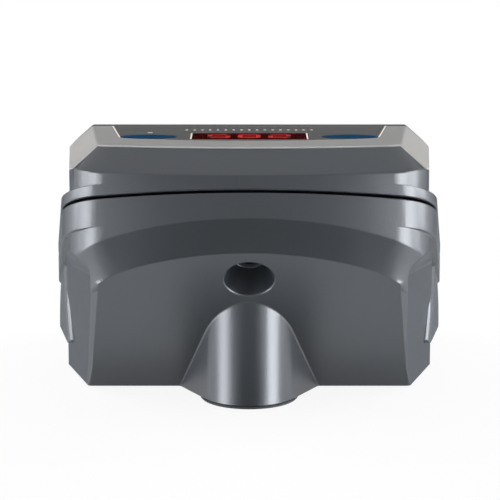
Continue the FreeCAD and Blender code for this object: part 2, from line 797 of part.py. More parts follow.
def top_bezel():
    """Light top plate with its facets, recessed for the film."""
    return plate_blank().cut([film_form(-OVERLAY_T, PAST, OVERLAY_FIT)] + panel_openings(FIT))


def keypad_overlay():
    """Printed film, flush with the plate."""
    return film_form(-OVERLAY_T, 0.0).cut(panel_openings(OVERLAY_HOLE))


def display_window():
    """Red window that drops into the cover."""
    w = WINDOW_W / 2
    h = WINDOW_H / 2
    return on_panel(box(-w, w, WINDOW_V - h, WINDOW_V + h, -WINDOW_T, 0.0))


def key(side):
    """Oval key with a bevelled rim, a flange that stops it under the cover, and a stem over its switch."""
    x = side * KEY_X
    flange_top = UNDERSIDE_W - KEY_REST
    cap = oval(KEY_W, KEY_H, flange_top - KEY_FLANGE_T / 2, KEY_PROUD, x, KEY_V)
    cap = cap.makeChamfer(KEY_EDGE, [e for e in cap.Edges if e.BoundBox.ZMin > KEY_PROUD - KEY_EDGE])
    flange = oval(KEY_W, KEY_H, flange_top - KEY_FLANGE_T, flange_top, x, KEY_V, KEY_FLANGE)
    foot = BOARD_W[1] + SWITCH_H + KEY_TRAVEL + KEY_REST
    stem = rod(KEY_STEM_D, foot, flange_top - KEY_FLANGE_T / 2, x, KEY_V)
    return on_panel(joined([cap, flange, stem]))


def left_key():
    return key(-1)


def right_key():
    return key(1)


def status_light():
    """Small lamp with a flange under the cover and a leg on the board."""
    flange_low = UNDERSIDE_W - STATUS_FLANGE_T
    lens_r = STATUS_D / 2
    return on_panel(turned([
        (0, BOARD_W[1]),
        (STATUS_LEG_D / 2, BOARD_W[1]),
        (STATUS_LEG_D / 2, flange_low),
        (STATUS_FLANGE_D / 2, flange_low),
        (STATUS_FLANGE_D / 2, UNDERSIDE_W),
        (lens_r, UNDERSIDE_W),
        (lens_r, 0),
        (lens_r - STATUS_PROUD, STATUS_PROUD),
        (0, STATUS_PROUD),
    ], KEY_X, STATUS_V))


def display_board():
    """Board under the panel, against the cover's posts."""
    return on_panel(box(-BOARD_HALF, BOARD_HALF, *BOARD_V, *BOARD_W))


def led_display():
    """Digit block on the board, just below the window."""
    w = (WINDOW_W - LED_IN[0]) / 2
    h = (WINDOW_H - LED_IN[1]) / 2
    return on_panel(box(-w, w, WINDOW_V - h, WINDOW_V + h, BOARD_W[1], -WINDOW_T - FIT))


def key_switches():
    """Push switches on the board, one under each key."""
    switches = []
    step = BOARD_W[1] + SWITCH_H - SWITCH_CAP_H
    half = SWITCH_W / 2
    for x in (-KEY_X, KEY_X):
        base = box(x - half, x + half, KEY_V - half, KEY_V + half, BOARD_W[1], step)
        cap = rod(SWITCH_CAP_D, step, BOARD_W[1] + SWITCH_H, x, KEY_V)
        switches.append(on_panel(joined([base, cap])))
    return Part.makeCompound(switches)


def front_panel():
    """Fence behind the notes, with the rotor window, eye holes and a flange at each side of the opening."""
    fence = box(-OPENING_HALF + FIT, OPENING_HALF - FIT, *FENCE_Y, OPENING_Z[0] + FIT, OPENING_Z[1] - FIT)
    y0 = FENCE_Y[0] - PAST
    y1 = FENCE_Y[1] + PAST
    window = box(ROTOR_X - ROTOR_WINDOW, ROTOR_X + ROTOR_WINDOW, y0, y1,
                 OPENING_Z[0] + WINDOW_SILL, PLATE_Z[0] + WINDOW_OVER)
    back = BODY_FRONT_Y + WALL
    inner = OPENING_HALF - FLANGE_IN
    outer = OPENING_HALF + FLANGE_OUT
    flange = box(inner, outer, back, back + FLANGE_T, OPENING_Z[0] + FLANGE_END, OPENING_Z[1] - FLANGE_END)
    fence = joined([fence.cut(window), flange, mirrored(flange)])
    return fence.cut([rod_y(EYE_D, y0, y1, EYE_X, z) for z in EYE_Z])


def infrared_eyes():
    """Two eyes with flanges behind the fence."""
    eyes = []
    thick = FENCE_Y[1] - FENCE_Y[0]
    for z in EYE_Z:
        eye = turned([
            (0, 0),
            (EYE_D / 2, 0),
            (EYE_D / 2, thick),
            (EYE_FLANGE_D / 2, thick),
            (EYE_FLANGE_D / 2, EYE_L),
            (0, EYE_L),
        ])
        eye.rotate(V(0, 0, 0), V(1, 0, 0), -90)
        eye.translate(V(EYE_X, FENCE_Y[0], z))
        eyes.append(eye)
    return Part.makeCompound(eyes)


def table_block(inset, z0, z1):
    """Table outline with rounded front corners."""
    half = TABLE_HALF - inset
    y0 = FRONT_Y + inset
    y1 = BODY_FRONT_Y - inset
    block = box(-half, half, y0, y1, z0, z1)
    corners = [e for e in block.Edges if e.BoundBox.YMax < y0 + PAST and is_upright(e)]
    return block.makeFillet(TABLE_R - inset, corners)


def rod_holes(d):
    """Holes or rods along the table, from rib to rib."""
    return [rod_y(d, FRONT_Y + ROD_REST[0], BODY_FRONT_Y - ROD_REST[1], x, ROD_Z) for x in ROD_X]


def note_table():
    """Hollow table with a slot for the clamp and ribs that hold its rods."""
    table = table_block(0.0, BASE_Z, TABLE_TOP)
    rear = BODY_FRONT_Y - PAST / 2
    rim = [e for e in table.Edges if e.BoundBox.ZMin > TABLE_TOP - PAST and e.BoundBox.YMin < rear]
    table = table.makeFillet(TABLE_EDGE_R, rim)
    skin_z = TABLE_TOP - TABLE_SKIN
    table = table.cut(table_block(TABLE_SKIN, BASE_Z - PAST, skin_z))
    wide = ROD_RIB[0] / 2
    lap = TABLE_SKIN / 2
    ribs = []
    for x in ROD_X:
        for wall_y, inward in ((FRONT_Y + TABLE_SKIN, 1), (BODY_FRONT_Y - TABLE_SKIN, -1)):
            y0, y1 = sorted((wall_y - inward * lap, wall_y + inward * ROD_RIB[1]))
            ribs.append(box(x - wide, x + wide, y0, y1, BASE_Z + RIB_FOOT, skin_z + lap))
    half = ARM_W / 2 + SLOT_FIT
    slot_y = (CLAMP_Y - SLOT_FIT, CLAMP_Y + ARM_L + CLAMP_TRAVEL + SLOT_FIT)
    slot = box(CLAMP_MID - half, CLAMP_MID + half, *slot_y, skin_z - PAST, TABLE_TOP + PAST)
    return joined([table] + ribs).cut([slot] + rod_holes(ROD_D))


def table_floor():
    """Plate that closes the table from below."""
    return table_block(TABLE_SKIN, BASE_Z, BASE_Z + TABLE_FLOOR_T)


def guide_rods():
    return Part.makeCompound(rod_holes(ROD_D))


def clamp_arm(z0, z1):
    """Block in the middle of the clamp, where the carriage carries the plate."""
    return box(CLAMP_MID - ARM_W / 2, CLAMP_MID + ARM_W / 2, CLAMP_Y, CLAMP_Y + ARM_L, z0, z1)


def clamp_carriage():
    """Block that runs on the rods, with an arm up through the table's slot."""
    y0 = CLAMP_Y - CARRIAGE_FRONT
    skin_z = TABLE_TOP - TABLE_SKIN
    low = BASE_Z + TABLE_FLOOR_T + CARRIAGE_GAP
    high = skin_z - CARRIAGE_GAP
    block = box(ROD_X[0] - CARRIAGE_OUT, ROD_X[1] + CARRIAGE_OUT, y0, y0 + CARRIAGE_L, low, high)
    arm = clamp_arm(skin_z - PAST, TABLE_TOP + CLAMP_LIFT)
    return joined([block, arm]).cut(rod_holes(ROD_D + 2 * RUN))


def clamp_plate():
    """Upright plate with rounded top corners, a finger tab and a foot on the carriage's arm."""
    low = TABLE_TOP + CLAMP_LIFT
    face = box(*CLAMP_X, CLAMP_Y, CLAMP_Y + CLAMP_T, low, CLAMP_TOP)
    top = [e for e in face.Edges if e.BoundBox.ZMin > CLAMP_TOP - PAST]
    face = face.makeFillet(CLAMP_R, [e for e in top if e.BoundBox.YLength > CLAMP_T / 2])
    half = TAB[0] / 2
    tab_top = CLAMP_TOP - TAB_BELOW
    tab = box(CLAMP_MID - half, CLAMP_MID + half, CLAMP_Y - TAB[1], CLAMP_Y + PAST, tab_top - TAB[2], tab_top)
    tip = [e for e in tab.Edges if e.BoundBox.YMax < CLAMP_Y and is_upright(e)]
    return joined([face, tab.makeFillet(TAB[2], tip), clamp_arm(low, low + ARM_FOOT)])


def clamp_pad():
    """Soft pad on the clamp's inner face."""
    side, low, high = PAD_IN
    y0 = CLAMP_Y + CLAMP_T
    z0 = TABLE_TOP + CLAMP_LIFT + low
    return box(CLAMP_X[0] + side, CLAMP_X[1] - side, y0, y0 + PAD_T, z0, CLAMP_TOP - high)


def seam_seal():
    """Dark seal in the split."""
    ring = column(BAND_HALF, SEAL_INSET, BASE_Z, SKY).cut(column(BAND_HALF, SEAL_INSET + SEAL_T, BASE_Z, SKY))
    ring = ring.common(below_seam(SEAM_GAP / 2)).common(above_seam(-SEAM_GAP / 2))
    return ring.cut(front_opening(BASE_Z, SKY))


def power_jack():
    """Barrel inlet behind the recess, with its centre pin."""
    floor = -RECESS_DEPTH
    back = floor - RECESS_WALL
    mouth = floor + JACK_PROUD
    wide, high, deep = JACK_BLOCK
    block = box(-wide / 2, wide / 2, -high / 2, high / 2, back - deep, back)
    jack = joined([block, rod(JACK_D, back - PAST, mouth)])
    jack = jack.cut(rod(JACK_BORE_D, mouth - JACK_BORE_L, mouth + PAST))
    return on_chin(joined([jack, rod(JACK_PIN_D, mouth - JACK_BORE_L - PAST, mouth - JACK_PIN_IN)]))


def rubber_feet():
    """Four feet, under the table and under the case."""
    r = FOOT_D / 2
    profile = [(0, 0), (r - FOOT_BEVEL, 0), (r, FOOT_BEVEL), (r, BASE_Z), (0, BASE_Z)]
    half = TABLE_HALF - FOOT_IN
    spots = [(x, y) for x in (-half, half) for y in (FRONT_Y + FOOT_FRONT, CHIN_Y - FOOT_BACK)]
    return Part.makeCompound([turned(profile, x, y) for x, y in spots])


def bulge_foot():
    """Rubber cap that closes the motor's well and stands on the bench."""
    plug_r = WELL_R - RUN
    return turned([
        (0, 0),
        (BULGE_R - FOOT_BEVEL, 0),
        (BULGE_R, FOOT_BEVEL),
        (BULGE_R, BASE_Z),
        (plug_r, BASE_Z),
        (plug_r, BASE_Z + BULGE_CAP_T),
        (0, BASE_Z + BULGE_CAP_T),
    ], 0, BULGE_Y)


def main_board():
    """Board above the gears."""
    board = box(-MAIN_BOARD_HALF, MAIN_BOARD_HALF, *MAIN_BOARD_Y, MAIN_BOARD_Z, MAIN_BOARD_Z + BOARD_T)
    top = MAIN_BOARD_Z + BOARD_T
    return board.cut([rod(SPACER_PIN_D, MAIN_BOARD_Z - PAST, top + PAST, x, y) for x, y in SPACERS])


def board_spacers():
    """Spacers that stand on the chassis plate and pin the main board."""
    pin_top = MAIN_BOARD_Z + BOARD_T + SPACER_PIN_OVER
    profile = [
        (0, PLATE_Z[1]),
        (SPACER_D / 2, PLATE_Z[1]),
        (SPACER_D / 2, MAIN_BOARD_Z),
        (SPACER_PIN_D / 2, MAIN_BOARD_Z),
        (SPACER_PIN_D / 2, pin_top),
        (0, pin_top),
    ]
    return Part.makeCompound([turned(profile, x, y) for x, y in SPACERS])


def drive_motor():
    """Motor can that hangs from the chassis plate by its face, with a collar round its shaft."""
    top = PLATE_Z[0]
    low = top - MOTOR_L
    r = MOTOR_D / 2
    collar_r = MOTOR_COLLAR[0] / 2
    face_r = MOTOR_FACE[0] / 2
    bore_r = SHAFT_D / 2 + RUN
    collar_top = top + MOTOR_COLLAR[1]
    return turned([
        (0, low - MOTOR_TAIL_H),
        (collar_r, low - MOTOR_TAIL_H),
        (collar_r, low),
        (r - MOTOR_EDGE, low),
        (r, low + MOTOR_EDGE),
        (r, top - MOTOR_FACE[1]),
        (face_r, top - MOTOR_FACE[1]),
        (face_r, top),
        (collar_r, top),
        (collar_r, collar_top),
        (bore_r, collar_top),
        (bore_r, top - SHAFT_IN),
        (0, top - SHAFT_IN),
    ], 0, BULGE_Y)


def motor_shaft():
    return rod(SHAFT_D, PLATE_Z[0] - SHAFT_IN + 2 * RUN, GEAR_Z[1] + SHAFT_OVER, 0, BULGE_Y)


def involute(r, r_base):
    """Angle by which an involute has rolled at a radius."""
    x = math.sqrt(max((r / r_base) ** 2 - 1, 0.0))
    return x - math.atan(x)


def gear(teeth, bore, phase):
    """Spur gear with involute flanks, backlash and a bore."""
    r_pitch = teeth * MODULE / 2
    r_base = r_pitch * math.cos(math.radians(PRESSURE_ANGLE))
    r_tip = r_pitch + ADDENDUM * MODULE
    r_root = r_pitch - DEDENDUM * MODULE
    half = math.pi / (2 * teeth) - BACKLASH / (4 * r_pitch) + involute(r_pitch, r_base)
    r_start = max(r_root, r_base)
    radii = [r_start + (r_tip - r_start) * k / FLANK_STEPS for k in range(FLANK_STEPS + 1)]
    flank = [(r, half - involute(r, r_base)) for r in radii]
    if r_root < r_base:
        flank.insert(0, (r_root, half))
    ring = []
    for k in range(teeth):
        mid = phase + 2 * math.pi * k / teeth
        ring += [(r * math.cos(mid - a), r * math.sin(mid - a)) for r, a in flank]
        ring += [(r * math.cos(mid + a), r * math.sin(mid + a)) for r, a in reversed(flank)]
    return polygon(ring, *GEAR_Z).cut(rod(bore, GEAR_Z[0] - PAST, GEAR_Z[1] + PAST))


def meshed_phase(theta, teeth_a, phase_a, teeth_b):
    """Phase of gear b, which lies from gear a in the direction theta."""
    share = (theta - phase_a) * teeth_a / (2 * math.pi)
    return theta + math.pi - (0.5 - share) * 2 * math.pi / teeth_b


def moved(shape, x, y):
    shape.translate(V(x, y, 0))
    return shape


def motor_pinion():
    return moved(gear(PINION_TEETH, SHAFT_D, 0.0), 0, BULGE_Y)


def idler_phase():
    """Turn of the idler that puts it in mesh with the pinion."""
    return meshed_phase(math.atan2(IDLER_Y - BULGE_Y, IDLER_X), PINION_TEETH, 0.0, IDLER_TEETH)


def idler_gear():
    """Idler with a pocket between its hub and its rim."""
    pocket_d = (IDLER_TEETH - 2 * DEDENDUM) * MODULE - 2 * IDLER_RIM
    low = GEAR_Z[1] - IDLER_POCKET
    pocket = rod(pocket_d, low, GEAR_Z[1] + PAST).cut(rod(IDLER_HUB_D, low - PAST, GEAR_Z[1] + 2 * PAST))
    return moved(gear(IDLER_TEETH, STUD_D + 2 * RUN, idler_phase()).cut(pocket), IDLER_X, IDLER_Y)


def idler_stud():
    """Stud in the chassis plate, with a shoulder below the idler and a head above it."""
    r = STUD_D / 2
    shoulder = STUD_SHOULDER_D / 2
    head = STUD_HEAD_D / 2
    seat = GEAR_Z[0] - FIT
    cover = GEAR_Z[1] + FIT
    return turned([
        (0, PLATE_Z[0]),
        (r, PLATE_Z[0]),
        (r, PLATE_Z[1]),
        (shoulder, PLATE_Z[1]),
        (shoulder, seat),
        (r, seat),
        (r, cover),
        (head, cover),
        (head, cover + STUD_HEAD_H),
        (0, cover + STUD_HEAD_H),
    ], IDLER_X, IDLER_Y)


def rotor_gear():
    theta = math.atan2(ROTOR_Y - IDLER_Y, ROTOR_X - IDLER_X)
    phase = meshed_phase(theta, IDLER_TEETH, idler_phase(), ROTOR_TEETH)
    return moved(gear(ROTOR_TEETH, ROTOR_SHAFT_D, phase), ROTOR_X, ROTOR_Y)


def rotor_shaft():
    low = FLOOR_Z + BUSH_LIFT + BUSH_FLOOR + 2 * RUN
    return rod(ROTOR_SHAFT_D, low, GEAR_Z[1] + ROTOR_SHAFT_OVER, ROTOR_X, ROTOR_Y)


def finger_point(share, side):
    """Point on one side of a finger's swept centre line, at a share of its length."""
    root = DRUM_R - FINGER_ROOT
    length = math.sqrt(FINGER_R**2 - FINGER_SWEEP**2) - FINGER_T / 2 - root
    slope = -3 * FINGER_SWEEP * share**2 / length
    across = V(-slope, 1, 0).normalize() * (side * FINGER_T / 2)
    return V(root + share * length, -FINGER_SWEEP * share**3, 0) + across


def finger(k):
    """One swept finger of the rotor."""
    lead = [finger_point(s, 1) for s in (0.0, 0.5, 1.0)]
    trail = [finger_point(s, -1) for s in (1.0, 0.5, 0.0)]
    edges = [arc(*lead), line(lead[2], trail[0]), arc(*trail), line(trail[2], lead[0])]
    blade = raised(edges, DRUM_Z[0] + FINGER_IN, DRUM_Z[1] - FINGER_IN)
    blade.rotate(V(0, 0, 0), V(0, 0, 1), 360.0 * k / FINGERS + FINGER_TURN)
    return moved(blade, ROTOR_X, ROTOR_Y)


def rotor_fingers():
    return Part.makeCompound([finger(k) for k in range(FINGERS)])


def rotor_drum():
    """Drum with bevelled ends and a slot for each finger."""
    bore = ROTOR_SHAFT_D / 2
    low, high = DRUM_Z
    drum = turned([
        (bore, low),
        (DRUM_R - DRUM_EDGE, low),
        (DRUM_R, low + DRUM_EDGE),
        (DRUM_R, high - DRUM_EDGE),
        (DRUM_R - DRUM_EDGE, high),
        (bore, high),
    ], ROTOR_X, ROTOR_Y)
    return drum.cut([finger(k) for k in range(FINGERS)])


def lower_bush():
    """Blind bush in the floor post."""
    bore = ROTOR_SHAFT_D / 2 + RUN
    low = FLOOR_Z + BUSH_LIFT
    rim = DRUM_Z[0] - BUSH_BELOW
    return turned([
        (0, low),
        (BUSH_D / 2, low),
        (BUSH_D / 2, rim),
        (BUSH_FLANGE_D / 2, rim),
        (BUSH_FLANGE_D / 2, rim + BUSH_FLANGE_T),
        (bore, rim + BUSH_FLANGE_T),
        (bore, low + BUSH_FLOOR),
        (0, low + BUSH_FLOOR),
    ], ROTOR_X, ROTOR_Y)


def upper_bush():
    """Flanged bush in the chassis plate."""
    bore = ROTOR_SHAFT_D / 2 + RUN
    flange_r = UPPER_BUSH_FLANGE[0] / 2
    top = PLATE_Z[1] + UPPER_BUSH_FLANGE[1]
    return turned([
        (bore, PLATE_Z[0]),
        (UPPER_BUSH_D / 2, PLATE_Z[0]),
        (UPPER_BUSH_D / 2, PLATE_Z[1]),
        (flange_r, PLATE_Z[1]),
        (flange_r, top),
        (bore, top),
    ], ROTOR_X, ROTOR_Y)


def chassis_plate():
    """Sheet that carries the motor, the idler's stud and the rotor's upper bush."""
    wide, narrow = PLATE_HALF
    front = BODY_FRONT_Y + PLATE_FRONT
    waist = CHIN_Y - PLATE_WAIST
    rear = BULGE_Y + PLATE_OVER
    outline = [(-wide, front), (wide, front), (wide, waist), (narrow, rear), (-narrow, rear), (-wide, waist)]
    bores = [(SCREW_HOLE_D, x, y) for x, y in POSTS]
    bores.append((MOTOR_COLLAR[0], 0, BULGE_Y))
    bores.append((UPPER_BUSH_D, ROTOR_X, ROTOR_Y))
    bores.append((STUD_D, IDLER_X, IDLER_Y))
    plate = between_cheeks(polygon(outline, *PLATE_Z), WALL + FIT)
    return plate.cut([rod(d, PLATE_Z[0] - PAST, PLATE_Z[1] + PAST, x, y) for d, x, y in bores])


def chassis_screws():
    """Screws through the plate into the posts."""
    seat = PLATE_Z[1]
    top = seat + SCREW_HEAD_H
    profile = [
        (0, seat - SCREW_L),
        (SCREW_D / 2, seat - SCREW_L),
        (SCREW_D / 2, seat),
        (SCREW_HEAD_D / 2, seat),
        (SCREW_HEAD_D / 2, top - SCREW_BEVEL),
        (SCREW_HEAD_D / 2 - SCREW_BEVEL, top),
        (0, top),
    ]
    return Part.makeCompound([turned(profile, x, y) for x, y in POSTS])


PIECES = (
    lower_case, upper_cover, top_bezel, seam_seal, front_panel, note_table, table_floor,
    keypad_overlay, display_window, led_display, display_board, key_switches, status_light,
    left_key, right_key, infrared_eyes, guide_rods, clamp_carriage, clamp_plate, clamp_pad,
    drive_motor, motor_shaft, motor_pinion, idler_gear, idler_stud, rotor_gear, rotor_shaft, rotor_drum,
    rotor_fingers, lower_bush, upper_bush, chassis_plate, chassis_screws,
    power_jack, main_board, board_spacers, rubber_feet, bulge_foot,
)

os.makedirs("parts", exist_ok=True)
for piece in PIECES:
    piece().exportStep("parts/" + piece.__name__ + ".step")
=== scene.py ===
"""Dresses the compact note counter: eased mouldings, printed panel, lit digits, drive train and studio."""

import json
import math

import bmesh
import bpy
from mathutils import Matrix, Vector

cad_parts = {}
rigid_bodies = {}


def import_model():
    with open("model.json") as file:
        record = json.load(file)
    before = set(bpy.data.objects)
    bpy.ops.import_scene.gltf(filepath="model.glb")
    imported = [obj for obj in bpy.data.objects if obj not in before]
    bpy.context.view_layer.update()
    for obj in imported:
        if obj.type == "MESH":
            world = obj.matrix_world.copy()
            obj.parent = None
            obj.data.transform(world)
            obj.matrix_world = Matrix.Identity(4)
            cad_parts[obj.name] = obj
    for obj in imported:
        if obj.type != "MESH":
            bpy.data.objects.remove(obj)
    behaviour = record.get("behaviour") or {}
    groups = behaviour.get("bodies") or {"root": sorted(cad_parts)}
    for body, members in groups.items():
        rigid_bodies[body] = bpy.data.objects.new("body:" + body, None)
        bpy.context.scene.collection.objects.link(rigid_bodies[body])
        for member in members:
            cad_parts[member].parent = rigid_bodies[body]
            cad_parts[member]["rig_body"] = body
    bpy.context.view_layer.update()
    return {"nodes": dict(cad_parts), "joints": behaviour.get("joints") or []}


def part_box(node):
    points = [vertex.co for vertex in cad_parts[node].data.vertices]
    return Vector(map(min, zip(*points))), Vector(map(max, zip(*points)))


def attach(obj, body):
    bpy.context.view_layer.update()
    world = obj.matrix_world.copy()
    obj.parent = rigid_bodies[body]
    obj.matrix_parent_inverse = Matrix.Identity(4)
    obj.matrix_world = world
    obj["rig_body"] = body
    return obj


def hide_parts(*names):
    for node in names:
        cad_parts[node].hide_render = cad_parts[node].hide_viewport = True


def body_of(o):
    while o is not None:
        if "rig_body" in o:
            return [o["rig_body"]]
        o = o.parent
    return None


bl_info = {
    "name": "Note counter dressing",
    "version": (1, 0, 0),
    "blender": (4, 5, 0),
    "location": "View3D > Sidebar > Note counter",
    "description": "Finishes, panel print, lit digits and a studio for the compact note counter",
    "category": "Object",
}

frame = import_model()
NODES = frame["nodes"]
MM = 0.001

# The keys are pressed square to the panel, so their joint gives the panel's directions
PRESS = next(Vector(j["axis"]) for j in frame["joints"] if j["name"] == "left_key_press")
PANEL_UP = -PRESS.normalized()
PANEL_REAR = Vector((0.0, PANEL_UP.z, -PANEL_UP.y))

# Edges are eased from the clear angle on, and those around the rear bevel from the soft angle on
CLEAR_ANGLE = math.radians(22)
SOFT_ANGLE = math.radians(7)
# The easing takes at most this share of the room beside an edge, and is levelled in so many passes
EASING_SHARE = 0.45
LEVEL_PASSES = 40
# A point well inside the case, from which its outer faces look away
CASE_HEART = Vector((0.0, 0.01, 0.05))
# How the rear faces of the lower case are known by their normals: the z of both, from the flattest to the
# steepest face, the greatest x of the underside and the least y of the bevel
UNDERSIDE_FALL = (-0.65, -0.5)
UNDERSIDE_TWIST = 0.01
BEVEL_FALL = (-0.36, -0.2)
BEVEL_REARWARD = 0.85
# A face leans to a direction where its normal has more than this of it
LEANING = 0.5
# Points closer than the weld distance are one, and faces within the flat angle are one face
WELD_DISTANCE = 0.01 * MM
FLAT_ANGLE = math.radians(0.5)
PAD_MARGIN = 0.1 * MM

GRAIN_DEPTH = 0.1 * MM
DRAWN_LINE_DEPTH = 0.02 * MM
PRINT_HEIGHT = 0.06 * MM

# What the lamps and cards are turned to, and what the camera looks at
LAMP_AIM = Vector((0.0, 0.0, 0.05))
CAMERA_AIM = Vector((-0.28, 60.0, 61.99)) * MM
CARD_COLOUR = (0.91, 0.945, 1.0, 1.0)
FLOOR_COLOUR = (0.85, 0.85, 0.85, 1.0)
FLOOR_SIZE = 30.0
# Share of plain white in the floor that the camera sees; the rest keeps the shadow
FLOOR_WHITE = 0.9


def height_on_panel(node):
    """Highest point of a node along the panel's normal."""
    return max(v.co.dot(PANEL_UP) for v in NODES[node].data.vertices)


def middle(node):
    """Centre of a node's box."""
    low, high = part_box(node)
    return (low + high) / 2


def panel_place(node):
    """Matrix whose x, y, z are the panel's right, rear and up, centred on the top of a node."""
    point = middle(node)
    point += PANEL_UP * (height_on_panel(node) - point.dot(PANEL_UP))
    turn = Matrix((Vector((1, 0, 0)), PANEL_REAR, PANEL_UP)).transposed().to_4x4()
    return Matrix.Translation(point) @ turn


def panel_corner(node, way, place):
    """Furthest point of a node in a direction of the panel plane, in that plane's own measure."""
    back = place.inverted()
    points = [(back @ v.co).to_2d() for v in NODES[node].data.vertices]
    return max(points, key=way.dot)


def around(azimuth, elevation, distance):
    """Place round the object, from angles in degrees off the camera's side."""
    turn = math.radians(azimuth)
    rise = math.radians(elevation)
    level = math.cos(rise)
    return Vector((math.sin(turn) * level, math.cos(turn) * level, math.sin(rise))) * distance


# Sizes and colours a user would change


class CaseFinish(bpy.types.PropertyGroup):
    case: bpy.props.FloatVectorProperty(
        name="Case", description="Colour of the dark moulded case", subtype="COLOR",
        default=(0.033, 0.037, 0.042))
    bezel: bpy.props.FloatVectorProperty(
        name="Bezel", description="Colour of the light top plate", subtype="COLOR",
        default=(0.297, 0.292, 0.282))
    film: bpy.props.FloatVectorProperty(
        name="Film", description="Colour of the printed panel film", subtype="COLOR",
        default=(0.066, 0.066, 0.063))
    key: bpy.props.FloatVectorProperty(
        name="Keys", description="Colour of the oval keys", subtype="COLOR",
        default=(0.001, 0.030, 0.073))
    ink: bpy.props.FloatVectorProperty(
        name="Ink", description="Colour of the printed lines", subtype="COLOR",
        default=(0.72, 0.68, 0.62))
    grain: bpy.props.FloatProperty(
        name="Grain", description="Size of one grain of the moulded texture", subtype="DISTANCE",
        default=0.55 * MM)
    easing: bpy.props.FloatProperty(
        name="Easing", description="Width of the eased edges of the mouldings", subtype="DISTANCE",
        default=0.5 * MM)
    ribs: bpy.props.IntProperty(
        name="Ribs", description="Number of ribs on the clamp's rubber pad", default=9)
    rib_depth: bpy.props.FloatProperty(
        name="Rib depth", description="Share of the clamp pad's thickness that the ribs take",
        subtype="FACTOR", default=0.4)
    rib_flank: bpy.props.FloatProperty(
        name="Rib flank", description="Share of the pitch that one flank of a rib takes", subtype="FACTOR",
        default=0.3)
    cheek: bpy.props.FloatProperty(
        name="Cheek", description="Half width of the sloping underside at the floor", subtype="DISTANCE",
        default=58.9 * MM)
    cheek_lean: bpy.props.FloatProperty(
        name="Cheek lean", description="Loss of that half width per height", default=0.107)
    shoulder: bpy.props.FloatProperty(
        name="Shoulder", description="Height of the underside's upper corners", subtype="DISTANCE",
        default=49.5 * MM)
    rounding: bpy.props.FloatProperty(
        name="Rounding", description="Height of the corners' rounding before it is tightened",
        subtype="DISTANCE", default=9.0 * MM)
    corner_start: bpy.props.FloatProperty(
        name="Corner start", description="Share of the half width at which those corners start",
        subtype="FACTOR", default=0.8)
    tightening: bpy.props.FloatProperty(
        name="Tightening", description="Share of the rounding that is taken away", subtype="FACTOR",
        default=0.5)
    pad_low: bpy.props.FloatProperty(
        name="Pad foot", description="Height of the side pads' lower ends", subtype="DISTANCE",
        default=14.0 * MM)
    pad_top: bpy.props.FloatProperty(
        name="Pad top", description="Height that the side pads stay below", subtype="DISTANCE",
        default=46.0 * MM)
    pad_front: bpy.props.FloatProperty(
        name="Pad front", description="Place of the side pads' front ends", subtype="DISTANCE",
        default=-16.2 * MM)
    pad_rear: bpy.props.FloatProperty(
        name="Pad rear", description="Place of the side pads' rear ends", subtype="DISTANCE",
        default=9.7 * MM)
    pad_still: bpy.props.FloatProperty(
        name="Pad still", description="Place behind which the side pads are not drawn out",
        subtype="DISTANCE", default=8.0 * MM)
    pad_reach: bpy.props.FloatProperty(
        name="Pad reach", description="Length over which they are drawn out more and more",
        subtype="DISTANCE", default=24.0 * MM)
    pad_rise: bpy.props.FloatProperty(
        name="Pad rise", description="Height over which the side pads are drawn out", subtype="DISTANCE",
        default=18.0 * MM)
    pad_out: bpy.props.FloatProperty(
        name="Pad out", description="How far the side pads' lower ends are drawn out", subtype="DISTANCE",
        default=1.85 * MM)


class PanelPrint(bpy.types.PropertyGroup):
    reading: bpy.props.StringProperty(
        name="Reading", description="Number that the display shows", default="285")
    digit_height: bpy.props.FloatProperty(
        name="Digit height", description="Height of one digit", subtype="DISTANCE", default=12.0 * MM)
    digit_width: bpy.props.FloatProperty(
        name="Digit width", description="Width of one digit", subtype="DISTANCE", default=8.3 * MM)
    digit_pitch: bpy.props.FloatProperty(
        name="Digit pitch", description="Distance between digits", subtype="DISTANCE", default=11.0 * MM)
    stroke: bpy.props.FloatProperty(
        name="Stroke", description="Width of one digit segment", subtype="DISTANCE", default=1.7 * MM)
    line: bpy.props.FloatProperty(
        name="Line", description="Width of the printed outline", subtype="DISTANCE", default=0.6 * MM)
    tick_pitch: bpy.props.FloatProperty(
        name="Tick pitch", description="Distance between the printed ticks", subtype="DISTANCE",
        default=2.9 * MM)
    tick_width: bpy.props.FloatProperty(
        name="Tick width", description="Width of one printed tick", subtype="DISTANCE", default=0.9 * MM)
    tick_length: bpy.props.FloatProperty(
        name="Tick length", description="Length of one printed tick", subtype="DISTANCE", default=2.4 * MM)
    tick_gap: bpy.props.FloatProperty(
        name="Tick gap", description="Distance of the ticks from the display window", subtype="DISTANCE",
        default=12.0 * MM)
    ticks: bpy.props.IntProperty(
        name="Ticks", description="Number of printed ticks in front of the display", default=17)


